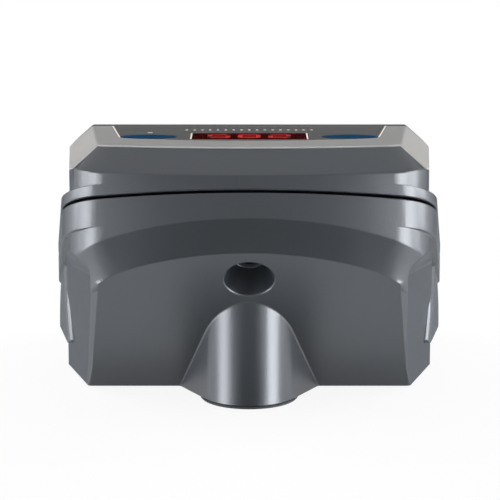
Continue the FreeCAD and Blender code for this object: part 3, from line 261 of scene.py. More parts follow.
class Studio(bpy.types.PropertyGroup):
    elevation: bpy.props.FloatProperty(
        name="Elevation", description="Camera angle above the horizon", subtype="ANGLE",
        default=math.radians(13.105))
    distance: bpy.props.FloatProperty(
        name="Distance", description="Camera distance from the aim point", subtype="DISTANCE", default=1.0)
    lens: bpy.props.FloatProperty(
        name="Lens", description="Focal length in millimetres", default=204.0)
    side_watts: bpy.props.FloatProperty(
        name="Side power", description="Power of each side softbox", subtype="POWER", default=36.0)
    top_watts: bpy.props.FloatProperty(
        name="Top power", description="Power of the top softbox", subtype="POWER", default=3.5)
    ambient: bpy.props.FloatProperty(
        name="Ambient", description="Strength of the room light", default=0.45)
    strip: bpy.props.FloatProperty(
        name="Strip", description="Brightness of the narrow side cards that the gloss shows", default=18.0)
    flank: bpy.props.FloatProperty(
        name="Flank", description="Brightness of the wide cards behind the narrow ones", default=2.4)
    overhead: bpy.props.FloatProperty(
        name="Overhead", description="Brightness of the card above the object", default=1.7)
    shade: bpy.props.FloatProperty(
        name="Shade", description="Brightness of the card on the camera's side; others take a share of it",
        default=1.1)
    below: bpy.props.FloatProperty(
        name="Below", description="Brightness of the card below the object", default=1.8)


def finish_settings():
    return bpy.context.scene.note_counter_finish


def print_settings():
    return bpy.context.scene.note_counter_print


def studio_settings():
    return bpy.context.scene.note_counter_studio


# Shader helpers


def new_group(name, inputs, outputs):
    """Empty shader node group with named float or colour sockets."""
    group = bpy.data.node_groups.new(name, "ShaderNodeTree")
    for label, kind, default in inputs:
        socket = group.interface.new_socket(label, in_out="INPUT", socket_type=kind)
        socket.default_value = default
    for label, kind in outputs:
        group.interface.new_socket(label, in_out="OUTPUT", socket_type=kind)
    return group, group.nodes.new("NodeGroupInput"), group.nodes.new("NodeGroupOutput")


def add_math(tree, operation, a, b):
    """Math node on two sockets or numbers."""
    node = tree.nodes.new("ShaderNodeMath")
    node.operation = operation
    for socket, value in zip(node.inputs, (a, b)):
        if isinstance(value, (int, float)):
            socket.default_value = value
        else:
            tree.links.new(value, socket)
    return node.outputs[0]


def add_noise(tree, vector, scale, detail, roughness=0.5):
    """Noise texture, with a number or a socket as its scale."""
    node = tree.nodes.new("ShaderNodeTexNoise")
    node.inputs["Detail"].default_value = detail
    node.inputs["Roughness"].default_value = roughness
    if isinstance(scale, (int, float)):
        node.inputs["Scale"].default_value = scale
    else:
        tree.links.new(scale, node.inputs["Scale"])
    tree.links.new(vector, node.inputs["Vector"])
    return node.outputs["Fac"]


def add_range(tree, value, low, high):
    """Maps 0..1 to low..high, with numbers or sockets as limits."""
    node = tree.nodes.new("ShaderNodeMapRange")
    tree.links.new(value, node.inputs["Value"])
    for label, limit in (("To Min", low), ("To Max", high)):
        if isinstance(limit, (int, float)):
            node.inputs[label].default_value = limit
        else:
            tree.links.new(limit, node.inputs[label])
    return node.outputs["Result"]


def add_mix(tree, factor, first, second):
    """Mix of two colours, given as tuples or sockets."""
    node = tree.nodes.new("ShaderNodeMix")
    node.data_type = "RGBA"
    tree.links.new(factor, node.inputs["Factor"])
    for socket, value in ((node.inputs["A"], first), (node.inputs["B"], second)):
        if isinstance(value, tuple):
            socket.default_value = value
        else:
            tree.links.new(value, socket)
    return node.outputs["Result"]


def object_coordinates(tree):
    """Places in the object's own measure, for textures."""
    return tree.nodes.new("ShaderNodeTexCoord").outputs["Object"]


def shaded(colour, factor):
    """Colour times a factor, with alpha."""
    return tuple(min(c * factor, 1.0) for c in colour[:3]) + (1.0,)


def grain_group():
    """Moulded texture: fine grain in height, a soft mottle in colour and roughness."""
    name = "moulded_grain"
    if name in bpy.data.node_groups:
        return bpy.data.node_groups[name]
    group, source, result = new_group(
        name,
        [("Grain Size", "NodeSocketFloat", 0.0006), ("Low", "NodeSocketColor", (0.1, 0.1, 0.1, 1.0)),
         ("High", "NodeSocketColor", (0.2, 0.2, 0.2, 1.0)), ("Roughness", "NodeSocketFloat", 0.5)],
        [("Color", "NodeSocketColor"), ("Roughness", "NodeSocketFloat"), ("Height", "NodeSocketFloat")])
    where = object_coordinates(group)
    scale = add_math(group, "DIVIDE", 1.0, source.outputs["Grain Size"])
    fine = add_noise(group, where, scale, detail=2.0, roughness=0.55)
    broad = add_noise(group, where, 55.0, detail=3.0)
    speck = add_math(group, "MULTIPLY", fine, 0.55)
    mottle = add_math(group, "MULTIPLY", broad, 0.45)
    blend = add_math(group, "ADD", speck, mottle)
    colour = add_mix(group, blend, source.outputs["Low"], source.outputs["High"])
    spread = add_range(group, broad, -0.02, 0.02)
    rough = add_math(group, "ADD", source.outputs["Roughness"], spread)
    group.links.new(colour, result.inputs["Color"])
    group.links.new(rough, result.inputs["Roughness"])
    group.links.new(fine, result.inputs["Height"])
    return group


def brushed_group():
    """Fine lines drawn along one axis by stretched noise."""
    name = "drawn_lines"
    if name in bpy.data.node_groups:
        return bpy.data.node_groups[name]
    group, source, result = new_group(
        name,
        [("Low", "NodeSocketColor", (0.4, 0.4, 0.4, 1.0)), ("High", "NodeSocketColor", (0.6, 0.6, 0.6, 1.0)),
         ("Roughness", "NodeSocketFloat", 0.3)],
        [("Color", "NodeSocketColor"), ("Roughness", "NodeSocketFloat"), ("Height", "NodeSocketFloat")])
    stretch = group.nodes.new("ShaderNodeMapping")
    stretch.inputs["Scale"].default_value = (900.0, 900.0, 9000.0)
    group.links.new(object_coordinates(group), stretch.inputs["Vector"])
    lines = add_noise(group, stretch.outputs["Vector"], 1.0, detail=2.0, roughness=0.6)
    colour = add_mix(group, lines, source.outputs["Low"], source.outputs["High"])
    spread = add_range(group, lines, -0.08, 0.08)
    rough = add_math(group, "ADD", source.outputs["Roughness"], spread)
    group.links.new(colour, result.inputs["Color"])
    group.links.new(rough, result.inputs["Roughness"])
    group.links.new(lines, result.inputs["Height"])
    return group


def start_material(name):
    """New material with its Principled shader."""
    material = bpy.data.materials.new(name)
    material.use_nodes = True
    tree = material.node_tree
    return material, tree, tree.nodes["Principled BSDF"]


def connect_surface(tree, shader, group_node, bump, depth):
    """Joins a finish group's colour, roughness and height to the shader."""
    tree.links.new(group_node.outputs["Color"], shader.inputs["Base Color"])
    tree.links.new(group_node.outputs["Roughness"], shader.inputs["Roughness"])
    node = tree.nodes.new("ShaderNodeBump")
    node.inputs["Strength"].default_value = bump
    node.inputs["Distance"].default_value = depth
    tree.links.new(group_node.outputs["Height"], node.inputs["Height"])
    tree.links.new(node.outputs["Normal"], shader.inputs["Normal"])


def moulded(name, colour, roughness, grain, bump, contrast=0.12, specular=0.5):
    """Moulded plastic or rubber with a fine grain."""
    material, tree, shader = start_material(name)
    node = tree.nodes.new("ShaderNodeGroup")
    node.node_tree = grain_group()
    node.inputs["Grain Size"].default_value = grain
    node.inputs["Low"].default_value = shaded(colour, 1.0 - contrast)
    node.inputs["High"].default_value = shaded(colour, 1.0 + contrast)
    node.inputs["Roughness"].default_value = roughness
    connect_surface(tree, shader, node, bump, depth=GRAIN_DEPTH)
    shader.inputs["Specular IOR Level"].default_value = specular
    return material


def drawn_metal(name, colour, roughness):
    """Turned or rolled metal with fine lines."""
    material, tree, shader = start_material(name)
    node = tree.nodes.new("ShaderNodeGroup")
    node.node_tree = brushed_group()
    node.inputs["Low"].default_value = shaded(colour, 0.85)
    node.inputs["High"].default_value = shaded(colour, 1.1)
    node.inputs["Roughness"].default_value = roughness
    connect_surface(tree, shader, node, bump=0.15, depth=DRAWN_LINE_DEPTH)
    shader.inputs["Metallic"].default_value = 1.0
    return material


def circuit_board(name):
    """Green solder mask over a pattern of tracks."""
    material, tree, shader = start_material(name)
    where = object_coordinates(tree)
    cells = tree.nodes.new("ShaderNodeTexBrick")
    cells.inputs["Scale"].default_value = 260.0
    cells.inputs["Mortar Size"].default_value = 0.03
    cells.inputs["Color1"].default_value = (0.010, 0.085, 0.035, 1.0)
    cells.inputs["Color2"].default_value = (0.012, 0.100, 0.042, 1.0)
    cells.inputs["Mortar"].default_value = (0.03, 0.17, 0.07, 1.0)
    tree.links.new(where, cells.inputs["Vector"])
    tree.links.new(cells.outputs["Color"], shader.inputs["Base Color"])
    rough = add_range(tree, add_noise(tree, where, 400.0, detail=2.0), 0.32, 0.44)
    tree.links.new(rough, shader.inputs["Roughness"])
    return material


def red_window(name):
    """Smoked red plastic with a faint haze."""
    material, tree, shader = start_material(name)
    haze = add_noise(tree, object_coordinates(tree), 120.0, detail=3.0)
    tint = add_mix(tree, haze, (0.034, 0.002, 0.002, 1.0), (0.046, 0.003, 0.003, 1.0))
    tree.links.new(tint, shader.inputs["Base Color"])
    tree.links.new(add_range(tree, haze, 0.14, 0.22), shader.inputs["Roughness"])
    shader.inputs["Specular IOR Level"].default_value = 0.05
    return material


def lit(name, colour, strength):
    """Glowing plastic whose light is uneven, as a diffused lamp's is."""
    material, tree, shader = start_material(name)
    uneven = add_noise(tree, object_coordinates(tree), 420.0, detail=2.0)
    glow = add_math(tree, "POWER", uneven, 2.0)
    tint = add_mix(tree, glow, shaded(colour, 0.1), shaded(colour, 1.0))
    tree.links.new(tint, shader.inputs["Base Color"])
    tree.links.new(tint, shader.inputs["Emission Color"])
    shader.inputs["Emission Strength"].default_value = strength
    shader.inputs["Roughness"].default_value = 0.4
    shader.inputs["Specular IOR Level"].default_value = 0.05
    return material


def dress(material, *nodes):
    """Puts a material on CAD nodes."""
    for name in nodes:
        slots = NODES[name].data.materials
        slots.clear()
        slots.append(material)


# Mesh helpers


def object_from(bm, name, material):
    """Object at the origin from a bmesh."""
    mesh = bpy.data.meshes.new(name)
    bm.to_mesh(mesh)
    bm.free()
    mesh.materials.append(material)
    piece = bpy.data.objects.new(name, mesh)
    bpy.context.scene.collection.objects.link(piece)
    return piece


def piece_from(bm, name, material, body, place):
    """New piece in its place, riding on a body."""
    bm.transform(place)
    bmesh.ops.recalc_face_normals(bm, faces=bm.faces)
    piece = object_from(bm, name, material)
    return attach(piece, body)


def sharp_edge(edge):
    """True where two faces meet at a clear angle."""
    return edge.calc_face_angle(0.0) > CLEAR_ANGLE


def outer_edge(edge):
    """True for a clear edge that stands out."""
    return sharp_edge(edge) and edge.is_convex


def shell_edge(edge):
    """True for a clear edge that stands out, and for a hollow one on the outside of the case."""
    outward = (edge.verts[0].co + edge.verts[1].co) / 2 - CASE_HEART
    outside = all(face.normal.dot(outward) > 0.0 for face in edge.link_faces)
    return sharp_edge(edge) and (edge.is_convex or outside)


def rear_face(face):
    """Which rear face of the case this is: the sloping underside, the bevel above it or neither."""
    flattest, steepest = UNDERSIDE_FALL
    if abs(face.normal.x) < UNDERSIDE_TWIST and flattest < face.normal.z < steepest:
        return "underside"
    flattest, steepest = BEVEL_FALL
    if face.normal.y > BEVEL_REARWARD and flattest < face.normal.z < steepest:
        return "bevel"
    return "other"


def case_edge(edge):
    """True for the clear edges of the lower case and for the softer ones around its rear bevel."""
    kinds = {rear_face(face) for face in edge.link_faces}
    around_bevel = len(kinds) == 2 and edge.calc_face_angle(0.0) > SOFT_ANGLE
    return shell_edge(edge) or around_bevel


def room_beside(edge, chosen):
    """Least distance from an edge that the faces beside it leave free."""
    start = edge.verts[0].co
    along = (edge.verts[1].co - start).normalized()
    room = []
    for loop in edge.link_loops:
        room.append(max((v.co - start).cross(along).length for v in loop.face.verts))
        after = loop.link_loop_next
        for corner, other in ((loop, loop.link_loop_prev.edge), (after, after.edge)):
            turn = corner.calc_angle() / (2 if other in chosen else 1)
            room.append(other.calc_length() * math.sin(turn))
    for vertex in edge.verts:
        plain = [e.other_vert(vertex).co - vertex.co for e in vertex.link_edges if e not in chosen]
        room += [span.cross(along).length for span in plain]
    return min(room)


def level_widths(widths):
    """Lets the width of the easing change only slowly from one edge to the next."""
    pairs = [(edge, other, vertex) for edge in widths for vertex in edge.verts
             for other in vertex.link_edges if other in widths and other is not edge]
    steps = []
    for edge, other, vertex in pairs:
        spans = [e.other_vert(vertex).co - vertex.co for e in (edge, other)]
        turn = spans[0].normalized().cross(spans[1].normalized()).length
        steps.append((edge, other, EASING_SHARE * turn * min(span.length for span in spans)))
    for _ in range(LEVEL_PASSES):
        for edge, other, step in steps:
            widths[edge] = min(widths[edge], widths[other] + step)


def ease_edges(piece, width, eased=outer_edge):
    """Rounds the chosen edges of a piece and keeps its flat faces even."""
    bm = bmesh.new()
    bm.from_mesh(piece.data)
    weight = bm.edges.layers.float.new("bevel_weight_edge")
    chosen = {edge for edge in bm.edges if eased(edge)}
    for edge in bm.edges:
        edge.smooth = edge in chosen or not sharp_edge(edge)
    widths = {}
    for edge in bm.edges:
        if edge in chosen:
            widths[edge] = min(width, EASING_SHARE * room_beside(edge, chosen))
    level_widths(widths)
    for edge in widths:
        edge[weight] = widths[edge] / width
    bm.to_mesh(piece.data)
    bm.free()
    bevel = piece.modifiers.new("eased_edges", "BEVEL")
    bevel.width = width
    bevel.segments = 2
    bevel.limit_method = "WEIGHT"
    bevel.use_clamp_overlap = False
    bevel.miter_outer = "MITER_ARC"
    shading = piece.modifiers.new("even_shading", "WEIGHTED_NORMAL")
    shading.keep_sharp = True
    for face in piece.data.polygons:
        face.use_smooth = True


def end_facet(node, side):
    """Point and normal of a node's largest face that leans to one end of the object."""
    faces = NODES[node].data.polygons
    leaning = [f for f in faces if f.normal.x * side > LEANING and f.normal.z > LEANING]
    widest = max(leaning, key=lambda f: f.area)
    return widest.center, widest.normal


def trim(bm, point, normal):
    """Takes away what stands outside a plane and closes the cut."""
    whole = bm.verts[:] + bm.edges[:] + bm.faces[:]
    bmesh.ops.bisect_plane(bm, geom=whole, plane_co=point, plane_no=normal, clear_outer=True)
    bmesh.ops.holes_fill(bm, edges=[e for e in bm.edges if e.is_boundary])


def merged_copy(node):
    """Mesh of a CAD node with its loose triangles joined into whole faces."""
    bm = bmesh.new()
    bm.from_mesh(NODES[node].data)
    bmesh.ops.remove_doubles(bm, verts=bm.verts, dist=WELD_DISTANCE)
    bmesh.ops.dissolve_limit(bm, angle_limit=FLAT_ANGLE, verts=bm.verts, edges=bm.edges)
    return bm


def draw_in_cheeks(bm, finish):
    """Brings the side edges of the sloping underside in and tightens the rounding of its upper corners."""
    underside = [f for f in bm.faces if rear_face(f) == "underside"]
    fall = -underside[0].normal.z / underside[0].normal.y
    for vertex in {v for f in underside for v in f.verts}:
        below = finish.shoulder - vertex.co.z
        if abs(vertex.co.x) > finish.cheek * finish.corner_start and 0.0 < below < finish.rounding:
            vertex.co.y += below * finish.tightening * fall
            vertex.co.z += below * finish.tightening
        edge = finish.cheek - finish.cheek_lean * vertex.co.z
        vertex.co.x = max(-edge, min(edge, vertex.co.x))


def on_pad(face, side, finish):
    """True for an outward face of the side pad on one side of the lower case."""
    low = finish.pad_low - PAD_MARGIN
    within = all(low < v.co.z < finish.pad_top and finish.pad_front < v.co.y < finish.pad_rear
                 for v in face.verts)
    return within and face.normal.x * side > LEANING


def draw_out_pads(bm, finish):
    """Draws the side pads out towards their lower ends, so that they stand upright."""
    for side in (-1, 1):
        pad = [f for f in bm.faces if on_pad(f, side, finish)]
        for vertex in {v for f in pad for v in f.verts}:
            down = max(0.0, 1.0 - (vertex.co.z - finish.pad_low) / finish.pad_rise)
            forward = max(0.0, (finish.pad_still - vertex.co.y) / finish.pad_reach)
            vertex.co.x += side * finish.pad_out * down * forward


def moulding(node, width, material, bm=None, eased=outer_edge):
    """Eased copy of a CAD node, from a drawn mesh if one is given, which stands for the node."""
    bm = bm or merged_copy(node)
    piece = object_from(bm, node + "_moulding", material)
    ease_edges(piece, width, eased)
    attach(piece, *body_of(NODES[node]))
    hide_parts(node)


def raise_outline(bm, points, height):
    """Flat outline at z = 0 raised to a height."""
    face = bm.faces.new([bm.verts.new((x, y, 0.0)) for x, y in points])
    made = bmesh.ops.extrude_face_region(bm, geom=[face])
    top = [g for g in made["geom"] if isinstance(g, bmesh.types.BMVert)]
    bmesh.ops.translate(bm, verts=top, vec=(0.0, 0.0, height))


def bar(bm, a, b, width, height, point=0.0):
    """Raised bar from a to b, with pointed ends if asked."""
    along = (b - a).normalized()
    side = Vector((-along.y, along.x)) * width / 2
    if point:
        tip = along * point
        ring = [a, a + tip + side, b - tip + side, b, b - tip - side, a + tip - side]
    else:
        ring = [a + side, b + side, b - side, a - side]
    raise_outline(bm, [tuple(p) for p in ring], height)


# The strokes that each figure lights, lettered clockwise from the top, with g in the middle
SEGMENTS = {
    "0": "abcdef", "1": "bc", "2": "abged", "3": "abgcd", "4": "fgbc",
    "5": "afgcd", "6": "afgedc", "7": "abc", "8": "abcdefg", "9": "abcdfg",
}


def segment_ends(width, height):
    """Centre lines of the seven strokes of a digit."""
    top = height / 2
    side = width / 2
    return {
        "a": ((-side, top), (side, top)),
        "b": ((side, top), (side, 0.0)),
        "c": ((side, 0.0), (side, -top)),
        "d": ((side, -top), (-side, -top)),
        "e": ((-side, -top), (-side, 0.0)),
        "f": ((-side, 0.0), (-side, top)),
        "g": ((-side, 0.0), (side, 0.0)),
    }


# Operators


class NOTECOUNTER_OT_case(bpy.types.Operator):
    """Eased mouldings and finishes of the case, the panel plate, the table and the clamp"""

    bl_idname = "notecounter.case"
    bl_label = "Case finishes"

    def execute(self, context):
        finish = finish_settings()
        grey = moulded("case_plastic", finish.case, roughness=0.296, grain=finish.grain, bump=0.35)
        for node in ("front_panel", "note_table", "clamp_plate"):
            moulding(node, finish.easing, grey)
        self.shells(finish, grey)
        dress(grey, "table_floor")
        light = moulded("bezel_plastic", finish.bezel, roughness=0.32, grain=finish.grain, bump=0.1)
        moulding("top_bezel", finish.easing / 4, light)
        film = moulded("film_print", finish.film, roughness=0.4, grain=finish.grain * 0.6, bump=0.03,
                       contrast=0.08, specular=0.1)
        dress(film, "keypad_overlay")
        rubber = moulded("black_rubber", (0.022, 0.022, 0.023), roughness=0.7, grain=finish.grain * 0.5,
                         bump=0.25, contrast=0.25, specular=0.3)
        dress(rubber, "rotor_fingers", "rubber_feet", "bulge_foot")
        # Near-black seam seal without gloss: partly the seal's own black rubber, partly painted shade of the
        # deep gap between case and cover
        seal_and_gap_shade = moulded("seal_rubber_and_gap_shade", (0.004, 0.004, 0.004), roughness=0.9, grain=finish.grain * 0.5,
                       bump=0.1, contrast=0.2, specular=0.0)
        dress(seal_and_gap_shade, "seam_seal")
        self.rib_pad(finish, rubber)
        return {"FINISHED"}

    def shells(self, finish, grey):
        """Lower case with drawn cheeks and pads, and cover without a lip over the panel's end facets."""
        lower = merged_copy("lower_case")
        draw_in_cheeks(lower, finish)
        draw_out_pads(lower, finish)
        moulding("lower_case", finish.easing, grey, lower, case_edge)
        upper = merged_copy("upper_cover")
        for side in (-1, 1):
            trim(upper, *end_facet("top_bezel", side))
        moulding("upper_cover", finish.easing, grey, upper, shell_edge)

    def rib_pad(self, finish, rubber):
        """Ribbed pad on the clamp's inner face: a toothed profile drawn out along its width."""
        low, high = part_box("clamp_pad")
        pitch = (high.z - low.z) / finish.ribs
        root = high.y - (high.y - low.y) * finish.rib_depth
        flank = pitch * finish.rib_flank
        profile = [(low.y, low.z)]
        for k in range(finish.ribs):
            z = low.z + k * pitch
            profile += [(root, z), (high.y, z + flank), (high.y, z + pitch - flank)]
        profile += [(root, high.z), (low.y, high.z)]
        bm = bmesh.new()
        raise_outline(bm, profile, high.x - low.x)
        draw_out = Matrix(((0, 0, 1, low.x), (1, 0, 0, 0), (0, 1, 0, 0), (0, 0, 0, 1)))
        piece = piece_from(bm, "clamp_rib_pad", rubber, "clamp", draw_out)
        ease_edges(piece, finish.easing / 2)
        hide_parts("clamp_pad")


class NOTECOUNTER_OT_panel(bpy.types.Operator):
    """Keys, window, digit block and status light"""

    bl_idname = "notecounter.panel"
    bl_label = "Panel finishes"

    def execute(self, context):
        finish = finish_settings()
        blue = moulded("key_plastic", finish.key, roughness=0.34, grain=finish.grain, bump=0.02,
                       contrast=0.06, specular=0.03)
        for node in ("left_key", "right_key"):
            moulding(node, finish.easing / 2, blue)
        dress(red_window("red_window"), "display_window")
        block = moulded("digit_block", (0.03, 0.006, 0.006), roughness=0.5, grain=finish.grain, bump=0.05,
                        contrast=0.1, specular=0.3)
        dress(block, "led_display")
        lens = moulded("status_lens", (0.75, 0.72, 0.68), roughness=0.35, grain=finish.grain, bump=0.02)
        dress(lens, "status_light")
        return {"FINISHED"}


class NOTECOUNTER_OT_drive(bpy.types.Operator):
    """Metals, nylon and boards of the drive and electrics"""

    bl_idname = "notecounter.drive"
    bl_label = "Drive finishes"

    def execute(self, context):
        steel = drawn_metal("bright_steel", (0.56, 0.56, 0.57), roughness=0.38)
        dress(steel, "guide_rods", "motor_shaft", "rotor_shaft", "idler_stud", "chassis_screws",
              "chassis_plate", "drive_motor")
        brass = drawn_metal("turned_brass", (0.72, 0.53, 0.24), roughness=0.38)
        dress(brass, "lower_bush", "upper_bush", "board_spacers", "motor_pinion")
        nylon = moulded("natural_nylon", (0.70, 0.68, 0.61), roughness=0.5, grain=0.8 * MM, bump=0.1,
                        contrast=0.05)
        dress(nylon, "idler_gear", "rotor_gear", "rotor_drum")
        black = moulded("black_plastic", (0.015, 0.015, 0.017), roughness=0.35, grain=0.5 * MM, bump=0.1,
                        contrast=0.2)
        dress(black, "key_switches", "infrared_eyes", "power_jack", "clamp_carriage")
        dress(circuit_board("solder_mask"), "display_board", "main_board")
        return {"FINISHED"}


class NOTECOUNTER_OT_digits(bpy.types.Operator):
    """Lit and dark strokes of the display"""

    bl_idname = "notecounter.digits"
    bl_label = "Digits"

    def execute(self, context):
        panel = print_settings()
        place = panel_place("display_window")
        glow = lit("lit_stroke", (1.0, 0.05, 0.04), strength=0.3)
        dim = lit("dark_stroke", (0.09, 0.015, 0.015), strength=0.0)
        strokes = segment_ends(panel.digit_width - panel.stroke, panel.digit_height - panel.stroke)
        start = -(len(panel.reading) - 1) / 2
        for name, material, wanted in (("digits_lit", glow, True), ("digits_dark", dim, False)):
            bm = bmesh.new()
            for k, figure in enumerate(panel.reading):
                shift = Vector(((start + k) * panel.digit_pitch, 0.0))
                for letter, (a, b) in strokes.items():
                    if (letter in SEGMENTS[figure]) == wanted:
                        ends = (Vector(a) + shift, Vector(b) + shift)
                        bar(bm, *ends, panel.stroke, PRINT_HEIGHT, panel.stroke / 2)
            piece_from(bm, name, material, "base", place)
        return {"FINISHED"}


class NOTECOUNTER_OT_film(bpy.types.Operator):
    """Printed lines on the panel film: outline, window edges and a row of ticks"""

    bl_idname = "notecounter.film"
    bl_label = "Film print"

    def execute(self, context):
        panel = print_settings()
        ink = moulded("white_ink", finish_settings().ink, roughness=0.5, grain=0.4 * MM, bump=0.05,
                      contrast=0.05, specular=0.2)
        place = panel_place("display_window")
        low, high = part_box("display_window")
        half_width = (high.x - low.x) / 2
        half_height = (high.y - low.y) / 2
        bm = bmesh.new()
        for side in (-1, 1):
            x = side * (half_width - panel.line / 2)
            bar(bm, Vector((x, -half_height)), Vector((x, half_height)), panel.line, PRINT_HEIGHT)
        # The film narrows to the rear, so its rear corners are looked for mostly sideways
        for side in (-1, 1):
            front = panel_corner("keypad_overlay", Vector((side, -1.0)), place)
            rear = panel_corner("keypad_overlay", Vector((side, 0.6)), place)
            inward = Vector((-side * panel.line / 2, 0.0))
            bar(bm, front + inward, rear + inward, panel.line, PRINT_HEIGHT)
        half_tick = Vector((panel.tick_width / 2, 0.0))
        for k in range(panel.ticks):
            shift = (k - (panel.ticks - 1) / 2) * panel.tick_pitch
            tick = Vector((shift, -(half_height + panel.tick_gap)))
            bar(bm, tick - half_tick, tick + half_tick, panel.tick_length, PRINT_HEIGHT)
        piece_from(bm, "film_print_marks", ink, "base", place)
        return {"FINISHED"}


class NOTECOUNTER_OT_stage(bpy.types.Operator):
    """Floor, softboxes, cards, room light and camera"""

    bl_idname = "notecounter.stage"
    bl_label = "Studio"

    def execute(self, context):
        studio = studio_settings()
        self.floor()
        self.room(context.scene, studio)
        for side, turn, gain, name in ((1, 61, 0.9, "left"), (-1, -55, 1.2, "right")):
            self.side_lights(studio, side, turn, gain, name)
        self.softbox("softbox_top", around(0, 86, 1.5), (1.4, 1.2), studio.top_watts)
        self.far_cards(studio)
        self.low_cards(studio)
        self.camera(context.scene, studio)
        context.scene.view_settings.view_transform = "Standard"
        return {"FINISHED"}

    def side_lights(self, studio, side, turn, gain, name):
        """Softbox of one side, and the cards that draw highlights on the rounded corners and edges there."""
        strip = studio.strip
        self.softbox("softbox_" + name, around(side * 118, 9, 1.3), (1.0, 0.4), studio.side_watts)
        self.card("strip_" + name, around(turn, -15, 1.6), (0.7, 1.15), strip * gain)
        self.card("ring_" + name, around(side * 36, 27, 1.6), (0.5, 0.35), strip * 0.3)
        self.card("corner_" + name, around(side * 64, -44, 1.6), (0.45, 0.45), strip * 0.2)
        self.card("flank_" + name, around(side * 72, -25, 2.4), (4.6, 3.2), studio.flank)
        self.card("near_" + name, Vector((side * 0.36, 0.08, 0.11)), (0.16, 0.26), strip * gain * 0.65)

    def far_cards(self, studio):
        """Cards above, before, behind and below the object, which its broad faces show."""
        self.card("card_top", around(0, 84, 1.8), (2.4, 2.4), studio.overhead)
        self.card("card_rim", around(180, 52, 1.7), (1.6, 0.5), studio.overhead * 3.6)
        self.card("card_front", around(0, 5, 2.0), (1.8, 2.4), studio.shade)
        self.card("card_low", around(0, -45, 2.0), (1.8, 1.1), studio.shade * 0.25)
        self.card("card_back", around(180, 8, 2.2), (4.2, 1.6), strength=0.0)
        self.card("card_behind", around(180, -24, 2.2), (4.6, 1.1), studio.shade * 0.25)
        self.card("card_below", around(0, -88, 1.4), (2.4, 2.4), studio.below)

    def low_cards(self, studio):
        """Dim cards that face straight up, which the sloping underside, its bevel and the bulge show."""
        for name, rearward, drop, size, strength in (
                ("card_under", 0.02, 0.03, (0.05, 0.09), 0.25),
                ("card_foot", 0.0, 0.031, (0.18, 0.07), studio.below * 0.5),
                ("card_step", 0.19, 0.03, (0.13, 0.16), 0.3)):
            place = Vector((0.0, rearward, -drop))
            self.card(name, place, size, strength, aim=Vector((0.0, rearward, LAMP_AIM.z)))

    def floor(self):
        """Large pale floor that reads white to the camera and keeps a soft shadow."""
        material, tree, shader = start_material("floor_white")
        shader.inputs["Base Color"].default_value = FLOOR_COLOUR
        shader.inputs["Roughness"].default_value = 0.9
        glow = tree.nodes.new("ShaderNodeEmission")
        mix = tree.nodes.new("ShaderNodeMixShader")
        white = add_math(tree, "MULTIPLY", self.seen(tree), FLOOR_WHITE)
        tree.links.new(white, mix.inputs["Fac"])
        tree.links.new(shader.outputs["BSDF"], mix.inputs[1])
        tree.links.new(glow.outputs["Emission"], mix.inputs[2])
        tree.links.new(mix.outputs["Shader"], tree.nodes["Material Output"].inputs["Surface"])
        bm = bmesh.new()
        bmesh.ops.create_grid(bm, x_segments=1, y_segments=1, size=FLOOR_SIZE)
        floor = object_from(bm, "floor", material)
        floor.visible_glossy = False

    def card(self, name, place, size, strength, aim=LAMP_AIM):
        """Studio card that only the gloss of the object shows."""
        bm = bmesh.new()
        bmesh.ops.create_grid(bm, x_segments=1, y_segments=1, size=0.5)
        bmesh.ops.scale(bm, vec=(*size, 1.0), verts=bm.verts)
        turn = (aim - place).to_track_quat("-Z", "Y").to_matrix().to_4x4()
        bm.transform(Matrix.Translation(place) @ turn)
        material, _, shader = start_material(name)
        shader.inputs["Base Color"].default_value = (0.0, 0.0, 0.0, 1.0)
        shader.inputs["Specular IOR Level"].default_value = 0.0
        shader.inputs["Emission Color"].default_value = CARD_COLOUR
        shader.inputs["Emission Strength"].default_value = strength
        material.cycles.emission_sampling = "NONE"
        card = object_from(bm, name, material)
        card.visible_camera = False
        card.visible_diffuse = False
        card.visible_transmission = False
        card.visible_shadow = False

    def seen(self, tree):
        """1 for rays that show the background: seen directly, in gloss or through glass."""
        path = tree.nodes.new("ShaderNodeLightPath")
        total = add_math(tree, "MAXIMUM", path.outputs["Is Camera Ray"], path.outputs["Is Glossy Ray"])
        return add_math(tree, "MAXIMUM", total, path.outputs["Is Transmission Ray"])

    def room(self, scene, studio):
        """White backdrop to the camera, plain room light to everything else."""
        world = bpy.data.worlds.new("room")
        scene.world = world
        world.use_nodes = True
        tree = world.node_tree
        back = tree.nodes["Background"]
        strength = add_range(tree, self.seen(tree), studio.ambient, 1.0)
        tree.links.new(strength, back.inputs["Strength"])
        back.inputs["Color"].default_value = (1.0, 1.0, 1.0, 1.0)
        world.cycles.sampling_method = "NONE"

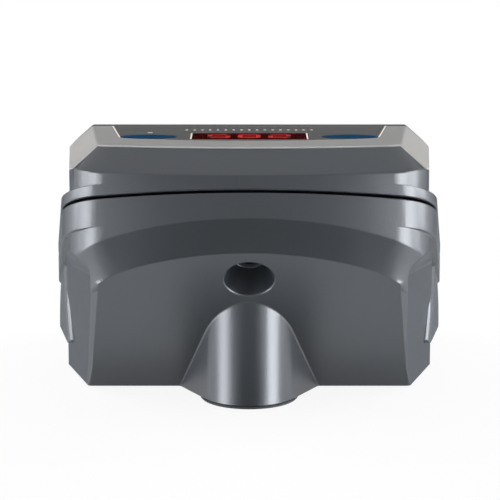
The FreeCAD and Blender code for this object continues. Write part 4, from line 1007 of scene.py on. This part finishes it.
    def softbox(self, name, place, size, watts):
        """Soft lamp turned to the object, which gloss doesn't show."""
        lamp = bpy.data.lights.new(name, "AREA")
        lamp.shape = "RECTANGLE"
        lamp.size, lamp.size_y = size
        lamp.energy = watts
        box = bpy.data.objects.new(name, lamp)
        bpy.context.scene.collection.objects.link(box)
        box.location = place
        box.rotation_euler = (LAMP_AIM - place).to_track_quat("-Z", "Y").to_euler()
        box.visible_glossy = False

    def camera(self, scene, studio):
        """Long lens behind the object and a little above it."""
        lens = bpy.data.cameras.new("photo_view")
        lens.lens = studio.lens
        lens.sensor_width = 36.0
        lens.clip_start = 0.05
        camera = bpy.data.objects.new("photo_view", lens)
        scene.collection.objects.link(camera)
        back = Vector((0.0, math.cos(studio.elevation), math.sin(studio.elevation)))
        camera.location = CAMERA_AIM + back * studio.distance
        camera.rotation_euler = (-back).to_track_quat("-Z", "Y").to_euler()
        scene.camera = camera


class NOTECOUNTER_PT_panel(bpy.types.Panel):
    """Lists the steps that dress the note counter"""

    bl_idname = "NOTECOUNTER_PT_panel"
    bl_label = "Note counter"
    bl_space_type = "VIEW_3D"
    bl_region_type = "UI"
    bl_category = "Note counter"

    def draw(self, context):
        for operator in OPERATORS:
            self.layout.operator(operator.bl_idname)


OPERATORS = (
    NOTECOUNTER_OT_case, NOTECOUNTER_OT_panel, NOTECOUNTER_OT_drive, NOTECOUNTER_OT_digits,
    NOTECOUNTER_OT_film, NOTECOUNTER_OT_stage,
)
CLASSES = (CaseFinish, PanelPrint, Studio, *OPERATORS, NOTECOUNTER_PT_panel)


def register():
    for cls in CLASSES:
        bpy.utils.register_class(cls)
    bpy.types.Scene.note_counter_finish = bpy.props.PointerProperty(type=CaseFinish)
    bpy.types.Scene.note_counter_print = bpy.props.PointerProperty(type=PanelPrint)
    bpy.types.Scene.note_counter_studio = bpy.props.PointerProperty(type=Studio)


def unregister():
    del bpy.types.Scene.note_counter_studio
    del bpy.types.Scene.note_counter_print
    del bpy.types.Scene.note_counter_finish
    for cls in reversed(CLASSES):
        bpy.utils.unregister_class(cls)


def main():
    """Runs the steps in order."""
    register()
    for operator in OPERATORS:
        group, name = operator.bl_idname.split(".")
        getattr(getattr(bpy.ops, group), name)()


if __name__ == "__main__":
    main()
